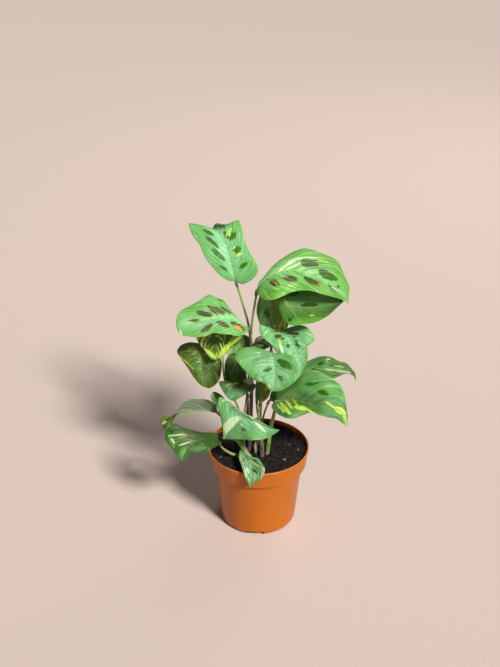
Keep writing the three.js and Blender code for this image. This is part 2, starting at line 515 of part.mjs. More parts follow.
const STEM_GREEN = {
  stem_centre: 0x5a4a3c, stem_left_purple: 0x5b4650, stem_left_olive: 0x5e6b34, stem_back: 0x4f5f33,
  stem_front_pink: 0x8a6a55, stem_right: 0x6f8a4a, stem_low_left: 0x7a9b58, stem_low_thin: 0x4f7a2c,
  stem_small_front: 0x5f8a4a, stem_bud: 0x8a9a5a
};
// The young bud is a spindle on top of its stem.
{
  const top = seen(...SHOOTS.stem_bud[0][1]);
  const rise = (x, z) => top.clone().add(new THREE.Vector3(x, 0, z));
  const bud = line([rise(0, -2), rise(0, 4), rise(0.6, 10)]);
  clumps.set('stem_bud', clumps.get('stem_bud').add(tube(bud, 0, 1, 2.5, 0.4, 4)));
}
for (const [name, body] of clumps) place(name, body, STEM_GREEN[name], 0.55);

// ---------------------------------------------------------------- soil
// The surface is relief by formula, level under the bark chips.
const CHIPS = [                              // where each is seen, its size and its turn
  [284.4, 460, 4.2, 2.4, 1.2, 25], [220.5, 457.7, 3.6, 2.0, 1.0, -35],
  [298, 450, 3.2, 1.8, 1.0, 70], [289.5, 445, 2.8, 1.6, 0.9, -10]
].map(([px, py, l, w, h, turn]) => {
  const a = seen(px, py, -40), b = seen(px, py, 40), s = (SOIL_Z - a.z) / (b.z - a.z);
  return { x: a.x + s * (b.x - a.x), y: a.y + s * (b.y - a.y), l, w, h, turn: turn * Math.PI / 180 };
});
const relief = (x, y) => {
  let z = 0.9 * Math.sin(0.21 * x + 0.6) * Math.cos(0.17 * y - 0.4)
    + 0.55 * Math.sin(0.47 * x - 0.31 * y + 1.1) + 0.4 * Math.cos(0.39 * x + 0.52 * y);
  for (const c of CHIPS) z *= 1 - Math.exp(-((x - c.x) ** 2 + (y - c.y) ** 2) / 200);
  return z;
};
const SOIL_SEGS = 36, SOIL_RINGS = 6;
const inset = (r) => r * Math.cos(Math.PI / SEGS) - GAP - 0.15;
const soilEdge = (z) => {                    // reach of the soil at height z
  const k = INSIDE.findIndex(([, h]) => h > z), [r0, h0] = INSIDE[k - 1], [r1, h1] = INSIDE[k];
  return inset(r0 + (r1 - r0) * (z - h0) / (h1 - h0));
};
let soil;
{
  const pos = [], tri = [], push = (r, z, k) => {
    const a = 2 * Math.PI * k / SOIL_SEGS;
    pos.push(r * Math.cos(a), r * Math.sin(a), z);
  };
  const low = FLOOR_TOP + GAP, [, [r1, h1], [r2, h2]] = INSIDE, lift = GAP + 0.15;
  const wall = [
    [soilEdge(FLOOR_TOP + 3) - 2.2, low], [soilEdge(FLOOR_TOP + 3), FLOOR_TOP + 3],
    [inset(r1), h1 + lift], [inset(r2), h2 + lift], [soilEdge(SOIL_Z - 2), SOIL_Z - 1.5]
  ];
  for (const [r, z] of wall) for (let k = 0; k < SOIL_SEGS; k++) push(r, z, k);
  const topR = soilEdge(SOIL_Z - 2) - 1.2;
  for (let i = 0; i < SOIL_RINGS; i++) for (let k = 0; k < SOIL_SEGS; k++) {
    const r = topR * (1 - i / SOIL_RINGS), a = 2 * Math.PI * k / SOIL_SEGS;
    push(r, SOIL_Z + relief(r * Math.cos(a), r * Math.sin(a)), k);
  }
  const rings = wall.length + SOIL_RINGS;
  for (let i = 0; i < rings - 1; i++) for (let k = 0; k < SOIL_SEGS; k++) {
    const a = i * SOIL_SEGS + k, b = i * SOIL_SEGS + (k + 1) % SOIL_SEGS;
    tri.push(a, b, b + SOIL_SEGS, a, b + SOIL_SEGS, a + SOIL_SEGS);
  }
  const bottom = pos.length / 3;
  pos.push(0, 0, low);
  pos.push(0, 0, SOIL_Z + relief(0, 0));
  const o = (rings - 1) * SOIL_SEGS;
  for (let k = 0; k < SOIL_SEGS; k++) {
    const n = (k + 1) % SOIL_SEGS;
    tri.push(bottom, n, k, bottom + 1, o + k, o + n);
  }
  soil = solid(pos, tri);
}
for (const h of holes) soil = soil.subtract(h);
place('soil', soil, 0x1f1712, 0.95);

// ---------------------------------------------------------------- bark chips
CHIPS.forEach((c, i) => {
  const g = new THREE.CylinderGeometry(0.5, 0.62, 1, 5);
  g.rotateX(Math.PI / 2);
  g.scale(c.l, c.w, c.h);
  g.rotateZ(c.turn);
  g.translate(c.x, c.y, SOIL_Z + GAP + 0.12 + c.h / 2);
  place(`bark_${i + 1}`, fromGeometry(g), 0xb08a5c, 0.85);
});

export default part;
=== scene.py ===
"""The looks of a potted prayer plant (maranta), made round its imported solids.

The plant's points are set down the way they are seen from the front, as px
across and py down in a view 500 wide and 667 high, and how far back in mm.
"""
import math

import bmesh
import bpy
import numpy as np
from mathutils import Matrix, Vector, noise


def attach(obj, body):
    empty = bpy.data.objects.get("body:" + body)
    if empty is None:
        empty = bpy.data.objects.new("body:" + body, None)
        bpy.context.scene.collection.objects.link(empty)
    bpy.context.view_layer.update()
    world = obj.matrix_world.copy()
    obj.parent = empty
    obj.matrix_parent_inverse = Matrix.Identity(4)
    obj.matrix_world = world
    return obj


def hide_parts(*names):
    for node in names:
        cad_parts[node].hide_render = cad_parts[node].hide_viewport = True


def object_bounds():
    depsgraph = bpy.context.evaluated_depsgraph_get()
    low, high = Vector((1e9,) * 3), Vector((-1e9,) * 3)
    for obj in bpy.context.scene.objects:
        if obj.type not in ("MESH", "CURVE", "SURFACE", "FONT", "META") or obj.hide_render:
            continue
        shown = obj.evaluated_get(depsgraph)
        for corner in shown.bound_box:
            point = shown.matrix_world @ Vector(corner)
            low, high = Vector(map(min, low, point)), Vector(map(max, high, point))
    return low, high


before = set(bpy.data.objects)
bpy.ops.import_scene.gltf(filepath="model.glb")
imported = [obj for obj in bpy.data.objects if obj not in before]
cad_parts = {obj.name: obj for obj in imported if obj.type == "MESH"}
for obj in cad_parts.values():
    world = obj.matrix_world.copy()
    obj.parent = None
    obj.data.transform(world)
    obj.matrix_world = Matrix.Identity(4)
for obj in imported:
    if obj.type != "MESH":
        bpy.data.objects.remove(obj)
CAD_BOX = [list(corner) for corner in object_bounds()]
MM = 0.001
BODY = "root"

# ---------------------------------------------------------------- sizes, in mm
RIM_R, POT_H, WALL = 60.0, 100.0, 1.4
COLLAR_H, COLLAR_R = 21.5, 57.2
BODY_R, FOOT_R = 52.3, 44.8
FLOOR_Z, FLOOR_T, PAD_R = 6.0, 1.8, 15.0
NOTCH_W, NOTCH_H, NOTCH_TURN = 18.2, 5.4, -3.6   # the turn is in degrees
EDGE_Z = POT_H - COLLAR_H   # lower edge of the collar
FLOOR_TOP, INNER_R = FLOOR_Z + FLOOR_T, FOOT_R - WALL
# The inside of the pot's wall from the floor up, with the ledge behind the collar.
INSIDE = [(INNER_R, FLOOR_TOP + 2), (BODY_R - WALL - 0.1, EDGE_Z + 0.9),
          (COLLAR_R - WALL - 0.2, EDGE_Z + 1.6), (RIM_R - 2, POT_H - 0.7)]
NOTCHES, DRAINS = 4, 8
DRAIN_R, DRAIN_AT = 3.6, 28.0
POT_SIDES, SOIL_SIDES, SOIL_RINGS = 176, 240, 120
SOIL_Z = 95.3
CRUMBS, STRANDS = 900, 110  # loose grains and root fibres on the soil
GAP = 0.35                  # clearance between solids that touch
PULVINUS = 7.0              # how far before its blade a swollen joint starts, at most
RIB_HOLD = 4.5              # how far a petiole's line runs on under the midrib, at most
ROOT_DEPTH = 22.0           # how deep a stem stands in the soil
STEM_SIDES, PETIOLE_SIDES = 20, 16
STEM_STEP, PETIOLE_STEP = 1.6, 1.8   # from ring to ring
TALL = 70.0                 # a shoot longer than this has two joints
LARGE = 60.0                # a leaf with a midrib longer than this has the finer grid
LARGE_GRID, SMALL_GRID = (90, 23), (64, 17)   # rows along it, columns across half of it
CROWD = 1.35                # how much closer the columns lie at the midrib
LAMINA = 0.34               # thickness of a blade between its veins
BASE_W, TIP_W = 1.1, 0.5    # half width that a blade has at its very base and tip
PUFF, ROLL = 0.34, 0.30     # how far a blade swells between its veins, and how far it rolls
KEEL, GROOVE = 0.62, 0.30   # how far the midrib stands out below, and how deep it is above
SPARE = 3.0                 # how far a blade's edge may pass the solids' box
LOW = np.array(CAD_BOX[0]) - SPARE * np.array([1, 1, 0]) * MM
HIGH = np.array(CAD_BOX[1]) + SPARE * np.ones(3) * MM

# ------------------------------------------------------------ the view's frame
EYE = np.array([-10.0, -992.0, 768.0])
DOWN = math.radians(27.6)
REACH = 1000.0              # focal length, in the view's pixels
VIEW_W, VIEW_H = 500, 667
PX_MM = 1.19                # mm that a pixel spans at the plant


def seen(px, py, back):
    """The point seen at px, py that lies at depth back."""
    a, b = (px - VIEW_W / 2) / REACH, (py - VIEW_H / 2) / REACH
    ray = np.array([a, math.cos(DOWN) - b * math.sin(DOWN), -math.sin(DOWN) - b * math.cos(DOWN)])
    return EYE + (back - EYE[1]) / ray[1] * ray


def look(p):
    """Where points are seen."""
    d = p - EYE
    far = d[..., 1] * math.cos(DOWN) - d[..., 2] * math.sin(DOWN)
    up = d[..., 1] * math.sin(DOWN) + d[..., 2] * math.cos(DOWN)
    return np.stack([VIEW_W / 2 + REACH * d[..., 0] / far, VIEW_H / 2 - REACH * up / far], -1)


# ---------------------------------------------------------------- tables
# One row a leaf: its midrib from base to tip; its left and its right margin as
# seen from base to tip at the upper face; how far the two halves lean back for
# each step across and down; and [arch, height of the edge's waves, how many,
# where they start].  A third number in a margin is how much farther back than
# its half's lean that point lies.
LEAVES = {
    "leaf_top_left": (
        [[235.5, 281, 12], [231.8, 266, 16], [228.2, 253.2, 21], [224.5, 242.3, 28], [219.5, 233.5, 37],
         [215, 229.3, 47], [212.5, 229.8, 57]],
        [[229, 281], [222.5, 277.3], [216.4, 271.4], [209, 263], [204, 255.5], [199.5, 244.5], [194, 237.3],
         [189.8, 229.5], [188.7, 224.3, 2], [198, 226, 6], [206, 227.6, 5]],
        [[242, 284.2], [250, 281], [258, 271.5], [256, 261], [251.5, 255.3], [247, 246.5], [243.6, 236.5],
         [241.2, 225.5, 3], [238.3, 219.9, 4], [230.5, 223.2, 6], [222, 224.2, 7], [216, 223.6, 5]],
        [[0.1, -0.6], [-0.1, -0.6]], [0.05, 1, 3, 0.5]),
    "leaf_top_right": (
        [[257, 290, 0], [266, 279, 3], [277, 272.5, 6], [296, 271, 8], [313, 276, 4], [332, 286, -4],
         [343, 294.5, -11], [347, 299, -14.5], [347.9, 304, -18]],
        [[259, 283], [264.4, 277], [272, 266.5], [279, 260], [288, 254.7], [297.8, 250.5], [305, 248.9],
         [313, 250], [322, 252.8], [330, 256], [337.5, 261], [341.5, 269], [345, 277], [349.4, 287.5],
         [349, 293.5], [348.5, 298.5]],
        [[260, 297], [267, 300], [275, 299.7], [283.3, 296.3], [291, 292], [300, 290.2], [312, 291.7],
         [321, 294], [330, 295.8], [338, 298.3], [344, 300.6], [346.8, 302]],
        [[0, -1.2], [0, -1.2]], [0.08, 1.2, 3, 0]),
    "leaf_under_top": (
        [[279, 297, 12], [288, 305, 8], [300, 307, 4], [320, 307.5, -4], [335, 304.5, -10],
         [343.5, 301.5, -15]],
        [[284, 291], [300, 287], [318, 288], [334, 294]],
        [[279, 304], [281, 313], [285, 321], [291, 325.5], [304, 324.5], [320, 320], [331, 313.5],
         [339, 306]],
        [[0, -1], [0, -1]], [0.06, 0.8, 2, 1]),
    "leaf_back_olive": (
        [[270, 287, 30], [268, 300, 34], [267, 315, 34], [267, 332, 30]],
        [[276, 292], [281, 305], [278, 320], [272, 329]],
        [[264, 290], [258, 301], [256.5, 312], [259, 322], [262, 329]],
        [[0, 0], [0, 0]], [0.08, 0.6, 2, 0]),
    "leaf_back_mustard": (
        [[284, 306, 52], [282, 314, 51], [280.5, 324, 49], [280, 335, 46]],
        [[288, 310], [289, 320], [286, 330]],
        [[278, 309], [276, 319], [276, 330]],
        [[0, 0], [0, 0]], [0.08, 0.4, 2, 0]),
    "leaf_middle_wavy": (
        [[284, 330, 8], [288, 336, 0], [292, 343, -8], [297, 353, -15], [300.5, 364, -20],
         [300.5, 375, -22]],
        [[290, 327], [299.3, 325], [307.9, 327.9], [312.3, 333], [314.3, 341.2], [306.5, 342.3],
         [307.3, 349], [308, 357], [306.4, 364.3], [303, 370.5]],
        [[278.5, 330.8], [273.6, 331.4], [266.4, 328.6], [260, 324.6], [260.5, 333], [265, 339.5],
         [270, 344], [276, 351.5], [283, 355.5], [292, 364]],
        [[-0.1, -0.7], [0.35, -0.6]], [0.06, 1.4, 3, 2]),
    "leaf_front_centre": (
        [[272.5, 353, -26], [274, 362, -32], [275, 370, -37], [274.5, 380, -42], [273, 391.5, -46]],
        [[279, 353], [286, 355], [293, 356.6], [297.5, 364.5], [300.7, 372.8], [296.4, 380], [288, 387],
         [281, 390.6]],
        [[268, 350.6], [261, 348.3], [253.6, 347.1], [242, 348.8], [234.8, 357], [240, 365], [245.5, 371.8],
         [250.5, 377.5], [257, 381.2], [264, 383], [268.5, 388.8]],
        [[-0.1, -0.5], [0.15, -0.6]], [0.07, 1.2, 3, 1]),
    "leaf_left_blotched": (
        [[248.5, 328.5, -5], [240, 322, -7], [225, 318, -10], [212, 319, -13], [198, 322, -16],
         [185, 325.5, -19], [176.5, 327, -21]],
        [[245, 333.5], [238, 336], [230, 335], [222, 334], [214, 332.5], [207, 336], [199, 337.5],
         [189, 336], [180.5, 334.5]],
        [[243, 325], [236.5, 318.5], [231, 311.3], [227.4, 305.8], [223.8, 300.2], [218.5, 298], [211, 295],
         [200, 300.5], [189, 305.8], [181, 311], [176.5, 319]],
        [[0, -1], [0, -1.1]], [0.07, 1.2, 3, 2]),
    "leaf_left_yellow": (
        [[228, 314, 12], [222, 326, 7], [218, 338, 2], [217, 350, -2], [216, 360, -4]],
        [[236, 320], [242, 330], [241, 337], [236, 342], [231, 346], [226, 353], [221, 357.5]],
        [[218, 316], [203, 324], [196, 334], [199, 344], [204, 350], [209, 357], [213, 360]],
        [[0.1, -0.8], [-0.1, -0.8]], [0.06, 0.8, 2, 0]),
    "leaf_left_inner": (
        [[250, 338, 15], [243, 341, 14], [236, 345, 13], [230, 350, 12], [226, 353.5, 12]],
        [[249.5, 346], [246, 351.5], [239.5, 355.5], [232, 356]],
        [[245, 335], [237, 336], [230, 341], [226, 347.5]],
        [[0, -0.2], [0, -0.2]], [0.06, 0.5, 2, 0]),
    "leaf_left_olive": (
        [[213, 348, 11], [206, 354, 9], [202, 364, 6], [203, 376, 2], [208, 388.3, -2]],
        [[218, 354], [221.3, 361], [221.5, 370], [219.3, 379.5], [214, 386]],
        [[206, 345], [197, 343], [188, 342.5], [180, 346], [177, 350.5], [181.5, 359], [188, 368.5],
         [194, 377.5], [200, 384.5]],
        [[0, -0.5], [0.2, -0.5]], [0.06, 1, 2, 1]),
    "leaf_left_dark": (
        [[243, 357.5, 6], [237, 362, 5.5], [232, 371, 5], [229, 384, 4.5]],
        [[246, 362], [246.5, 372], [245, 380], [238, 384.5]],
        [[237, 353.5], [230, 354.5], [225.5, 361], [224.6, 370], [225.2, 379]],
        [[0, -0.2], [0, -0.2]], [0.06, 0.6, 2, 0]),
    "leaf_low_dark": (
        [[254, 384.5, -9], [246, 387, -12], [238, 391.5, -15], [230.5, 400, -17]],
        [[252.8, 388.5], [249, 392], [243.5, 395.6], [237.5, 399], [233.8, 400.6]],
        [[253, 379.5], [247, 378.5], [240, 381], [229, 381], [219, 382], [222, 389.5], [226.2, 396]],
        [[0, -0.5], [0, -0.5]], [0.06, 0.6, 2, 0]),
    "leaf_small_oval": (
        [[261, 402, -18], [261.5, 394, -20], [263, 387, -21], [265.5, 379, -21]],
        [[257, 398.5], [255.5, 391], [258, 383]],
        [[266.5, 399.5], [270, 393], [270.5, 385]],
        [[0, -0.2], [0, -0.2]], [0.06, 0.4, 2, 0]),
    "leaf_right_big": (
        [[276, 401.5, -15], [286, 400.5, -18], [298, 401, -22], [312, 404.5, -27], [328, 409, -33],
         [340, 416, -38], [347, 425.7, -42]],
        [[276, 394], [282, 384], [293, 374], [306, 370], [318, 371], [327, 375.5], [335, 380.7], [342, 387],
         [345, 397], [347, 411], [347.8, 418]],
        [[271.5, 406], [276, 412], [281, 417], [287, 419], [294, 417.8], [302, 415], [309, 413.5],
         [317, 415.3], [328, 417], [336.4, 418.6], [341.5, 422.6]],
        [[0, -0.5], [0, -1.9]], [0.05, 1.4, 3, 0]),
    "leaf_right_pointed": (
        [[270, 400, -2], [280, 391, 3], [292, 381, 8], [306, 370.5, 12], [320, 366, 12], [334, 368, 8],
         [346, 371, 3], [353.8, 374.5, -1.5], [355.8, 380.2, -4.5]],
        [[271, 393], [282, 380], [295, 370], [306, 362], [314, 358], [322, 356], [331, 357.3], [339, 361.3],
         [346.3, 362.9], [351.5, 368.5], [355, 373.2]],
        [[276, 402], [288, 398], [302, 388], [314, 380], [324, 377], [332, 378.4], [338, 376.4],
         [343, 374.3], [349.3, 374], [353.8, 376.5]],
        [[0, -0.9], [0, -0.9]], [0.06, 1.2, 3, 1]),
    "leaf_front_cream": (
        [[223.5, 437.5, -31], [233, 427.5, -32], [243.5, 418.7, -34], [254, 420.3, -38], [266, 426.5, -43],
         [279, 430.2, -49]],
        [[222.3, 428], [220, 417], [217.7, 405], [219.6, 397.2], [225, 400], [233.6, 405.7], [243.6, 411.4],
         [252.5, 417.2], [261, 422.3], [270.7, 427]],
        [[228, 439], [236, 439], [245, 439.8], [254, 440.3], [262, 439.5], [268, 437.5], [274.5, 434]],
        [[0.1, -0.6], [0, -0.8]], [0.07, 1.2, 3, 2]),
    "leaf_curled_grey": (
        [[217, 412.5, -9], [205, 411, -14], [193, 412.8, -18], [183, 414.7, -17.5], [174.5, 418.2, -15.5],
         [171, 424.5, -13.5], [167, 431, -12]],
        [[215, 404], [208, 399.8], [200, 398.2], [192, 398.5], [185.5, 401.2], [179.7, 408], [176, 415],
         [172.3, 421.5]],
        [[212, 408, 10], [203, 406, 16], [192, 407, 18], [182, 410, 17], [174, 414.5, 8], [160, 419.3],
         [162.3, 426]],
        [[0, 0.5], [0, -0.5]], [0.04, 0.6, 2, 0]),
    "leaf_low_left": (
        [[219.5, 441, -22], [211, 438.5, -27], [200, 440.5, -32], [190, 446, -37], [184.5, 453, -41],
         [182.5, 462, -45]],
        [[219, 444], [213, 448], [208, 451.5], [200, 452], [192, 453.5], [187, 458]],
        [[221, 435], [212, 432.5], [200, 432.5], [192, 430], [183, 427], [173, 423.5], [165.5, 430],
         [165, 438], [168, 444], [177, 455.5]],
        [[0, -0.9], [0.1, -0.8]], [0.06, 1.2, 3, 1]),
    "leaf_front_small": (
        [[240.5, 451, -25], [246, 459, -36.4], [251, 467, -50], [252, 474, -60.5], [250.8, 480, -65],
         [249.7, 487, -67]],
        [[244.8, 452.8], [248.8, 456.8], [253.8, 457.2], [258.5, 458.6], [261.5, 463], [265, 469],
         [264, 474.5], [258.9, 480.8], [253, 484]],
        [[239, 455], [240.3, 462], [243.3, 471.6], [246.5, 479]],
        [[-0.6, -1.2], [0.8, -1.2]], [0.04, 0.6, 2, 0]),
    "leaf_low_olive": (
        [[225, 406, 6], [219.5, 401, 5], [214.5, 397, 4], [210.5, 395, 3]],
        [[221, 410], [215.5, 405], [211.5, 399.5]],
        [[225, 400], [219, 393.5], [213.5, 392]],
        [[0, -0.3], [0, -0.3]], [0.06, 0.4, 2, 0]),
    "leaf_middle_grey": (
        [[254, 344, 14], [260, 341.5, 14], [266, 341.5, 13], [272, 344, 12]],
        [[256, 338], [262, 335.5], [268, 338]],
        [[256, 348.5], [262, 349.5], [268, 348]],
        [[0, -0.2], [0, -0.2]], [0.05, 0.4, 2, 0]),
}
# One row a shoot: the line of its main stem from the soil up, and its radius
# at the soil and at the top.
SHOOTS = {
    "stem_centre": ([[249.5, 451.5, -3], [250.5, 425, -1], [251.5, 392, 5], [251.5, 370, 8], [251, 347, 8]],
        [2.8, 1.9]),
    "stem_left_purple": ([[246, 446, 8], [247, 425, 9], [247.5, 400, 8], [246, 380, 11], [244, 364, 16]],
        [2.1, 1.4]),
    "stem_left_olive": ([[243.5, 452, -3], [244.5, 425, -4], [245, 408, -4]], [2.1, 1.5]),
    "stem_back": ([[259, 447, 6], [259.5, 425, 8], [261, 400, 14], [266, 375, 24], [271, 350, 36],
        [273, 334, 45]], [2.6, 1.6]),
    "stem_front_pink": ([[262, 458, -15], [261.5, 441, -15], [259.5, 422, -13], [258, 411, -12]],
        [2.9, 1.8]),
    "stem_right": ([[267, 456, -10], [269, 440, -12], [272, 421, -14]], [2.7, 2.3]),
    "stem_low_left": ([[250, 457.8, -20.5], [247, 454, -22]], [2.9, 2.8]),
    "stem_low_thin": ([[238, 456.6, -19.5], [231.5, 453.8, -21]], [1.7, 1.6]),
    "stem_small_front": ([[242.5, 460.5, -26], [241.5, 457.5, -26.3]], [1.5, 1.4]),
    "stem_bud": ([[255.5, 454.5, -9], [255.5, 448, -9]], [1.9, 2.1]),
}
# Purple of a shoot at the soil and at the top, how pale the sheath is there,
# and how far up the sheath reaches.
STEM_LOOKS = {
    "stem_centre": (0.95, 0.75, 0.15, 0.2), "stem_left_purple": (1, 0.75, 0.1, 0.2),
    "stem_left_olive": (0.45, 0.25, 0.2, 0.3), "stem_back": (0.7, 0.35, 0.45, 0.25),
    "stem_front_pink": (0.95, 0.45, 0.55, 0.22), "stem_right": (0.15, 0.02, 0.4, 0.3),
    "stem_low_left": (0.1, 0, 0.2, 0.6), "stem_low_thin": (0.1, 0.05, 0.1, 0.5),
    "stem_small_front": (0.1, 0, 0.3, 0.5), "stem_bud": (0.25, 0, 0.5, 0.8),
}
# One row a petiole: the shoot it grows from; the line from inside the shoot
# to the leaf's base; and its radius at each end.
PETIOLES = {
    "leaf_top_left": ("stem_centre", [[251, 352, 8], [249.5, 330, 10], [243, 305, 11.5], [238.5, 290, 12]],
        [1.6, 1.15]),
    "leaf_top_right": ("stem_centre", [[251, 352, 8], [251, 333, 4], [253.5, 312, 1], [256, 297, 0]],
        [1.6, 1.25]),
    "leaf_left_blotched": ("stem_centre", [[251, 352, 8], [251.5, 343, 1], [250.8, 335, -3.5]], [1.5, 1.2]),
    "leaf_middle_grey": ("stem_back", [[265, 378, 23], [257, 360, 21], [252.5, 348, 17]], [1.2, 1]),
    "leaf_back_olive": ("stem_back", [[272.5, 340, 43], [274, 312, 47], [273, 295, 41]], [1.4, 1.1]),
    "leaf_under_top": ("stem_back", [[272.5, 340, 43], [276, 328.3, 41], [281.3, 317.7, 40], [286, 304, 37],
        [284.5, 296, 26]], [1.4, 1.1]),
    "leaf_back_mustard": ("stem_back", [[272.5, 340, 43], [276.5, 325, 55], [282.5, 309, 58]], [1.2, 1]),
    "leaf_middle_wavy": ("stem_back", [[265, 378, 23], [277, 357, 17], [283, 343, 8], [284, 336, 6]],
        [1.4, 1.1]),
    "leaf_right_pointed": ("stem_back", [[259.2, 436, 7.2], [262.5, 420, 4], [266.5, 407, 0]], [1.3, 1.1]),
    "leaf_left_inner": ("stem_left_purple", [[244.2, 367, 15.5], [247, 352, 19], [250, 343, 18]], [1.2, 1]),
    "leaf_left_yellow": ("stem_left_olive", [[244.4, 428, -3.9], [240, 413, -6], [236.2, 403, -5],
        [229.5, 391, -1.5], [224.6, 379, 0.5], [223.2, 367, 1.5], [223, 357, 5], [224.5, 343, 14],
        [229, 325, 19.5]], [1.3, 1]),
    "leaf_left_olive": ("stem_left_purple", [[244.2, 367, 15.5], [232, 354, 22], [220, 346.5, 17]],
        [1.3, 1]),
    "leaf_left_dark": ("stem_left_olive", [[245, 412, -4], [247, 394, 0], [248.5, 375, 5], [247.5, 363, 8]],
        [1.2, 1]),
    "leaf_low_dark": ("stem_left_olive", [[245, 412, -4], [249, 396, -3.5], [253.5, 389, -6.5]], [1.2, 1]),
    "leaf_low_olive": ("stem_left_olive", [[244.9, 418, -4], [238, 410, 2], [230, 407, 6]], [1.1, 0.9]),
    "leaf_front_centre": ("stem_front_pink", [[258.3, 414, -12], [256.5, 395, -4], [260, 370, -6],
        [268, 355, -16]], [1.6, 1.3]),
    "leaf_small_oval": ("stem_front_pink", [[258.3, 414, -12], [260, 407, -16]], [1.2, 0.9]),
    "leaf_right_big": ("stem_right", [[271.5, 424, -13.8], [275, 409, -15]], [2.2, 1.7]),
    "leaf_front_cream": ("stem_low_left", [[247.6, 455, -21.6], [242.2, 447.3, -23.5],
        [236.5, 440.3, -26.5], [229.5, 438, -28.5]], [2.5, 1.5]),
    "leaf_curled_grey": ("stem_low_left", [[247.6, 455, -21.6], [244.3, 447, -16.5], [236, 436.5, -13],
        [225, 423, -9]], [2, 1.3]),
    "leaf_low_left": ("stem_low_thin", [[233.5, 454.8, -20.6], [227.5, 451.5, -21.5], [223, 448.5, -21.5],
        [220.3, 444.8, -21.5]], [1.6, 1.2]),
    "leaf_front_small": ("stem_small_front", [[241.8, 458.5, -26.2], [240.6, 454.8, -26]], [1.3, 1]),
}
# Each leaf's own look, each from 0 to 1: how dark and olive it is, which is partly
# its own colour and partly painted shade and painted light for how shaded it lies;
# how strongly yellow streaks show in it; how yellow its light green is; how striped
# it is; how many flecks it has.  Last, how many blotches a half of it grows by rule.
LOOKS = {
    "leaf_top_left": (0.02, 0, 0.1, 0.15, 0, 0), "leaf_top_right": (0.08, 0.1, 0.95, 0.65, 0, 0),
    "leaf_under_top": (0.68, 0.2, 0.95, 0.15, 0, 0), "leaf_back_olive": (0.22, 0.7, 1, 0.8, 0, 0),
    "leaf_back_mustard": (0.2, 0.95, 1, 0.5, 0, 0), "leaf_middle_wavy": (0.16, 0, 0, 0.3, 0.08, 0),
    "leaf_front_centre": (0.18, 0, 0.15, 0.3, 0.04, 0), "leaf_left_blotched": (0, 0, 0.45, 0.3, 0.1, 0),
    "leaf_left_yellow": (0.78, 0.35, 1, 0.4, 1, 0), "leaf_left_inner": (0.44, 0.4, 1, 0.5, 0.4, 0),
    "leaf_left_olive": (0.92, 0.85, 1, 0.4, 0.05, 0), "leaf_left_dark": (0.94, 0.35, 0.6, 0.5, 0.1, 0),
    "leaf_low_dark": (0.64, 0, 0, 0.5, 0.1, 0), "leaf_small_oval": (0.9, 0.4, 0.8, 0.4, 0.1, 0),
    "leaf_right_big": (0.52, 0.1, 0.36, 0.6, 0, 0), "leaf_right_pointed": (0.66, 0.25, 0.3, 0.9, 0.1, 0),
    "leaf_front_cream": (0.06, 0, 0, 0.25, 0.2, 0), "leaf_curled_grey": (0.85, 0.3, 0.7, 0.4, 0.1, 3),
    "leaf_low_left": (0.93, 0.25, 0.5, 0.5, 0.08, 0), "leaf_front_small": (0.26, 0, 0, 0.3, 1, 0),
    "leaf_low_olive": (0.22, 0.5, 0.7, 0.6, 0.2, 0), "leaf_middle_grey": (0.3, 0.2, 0.1, 0.4, 0.5, 1),
}
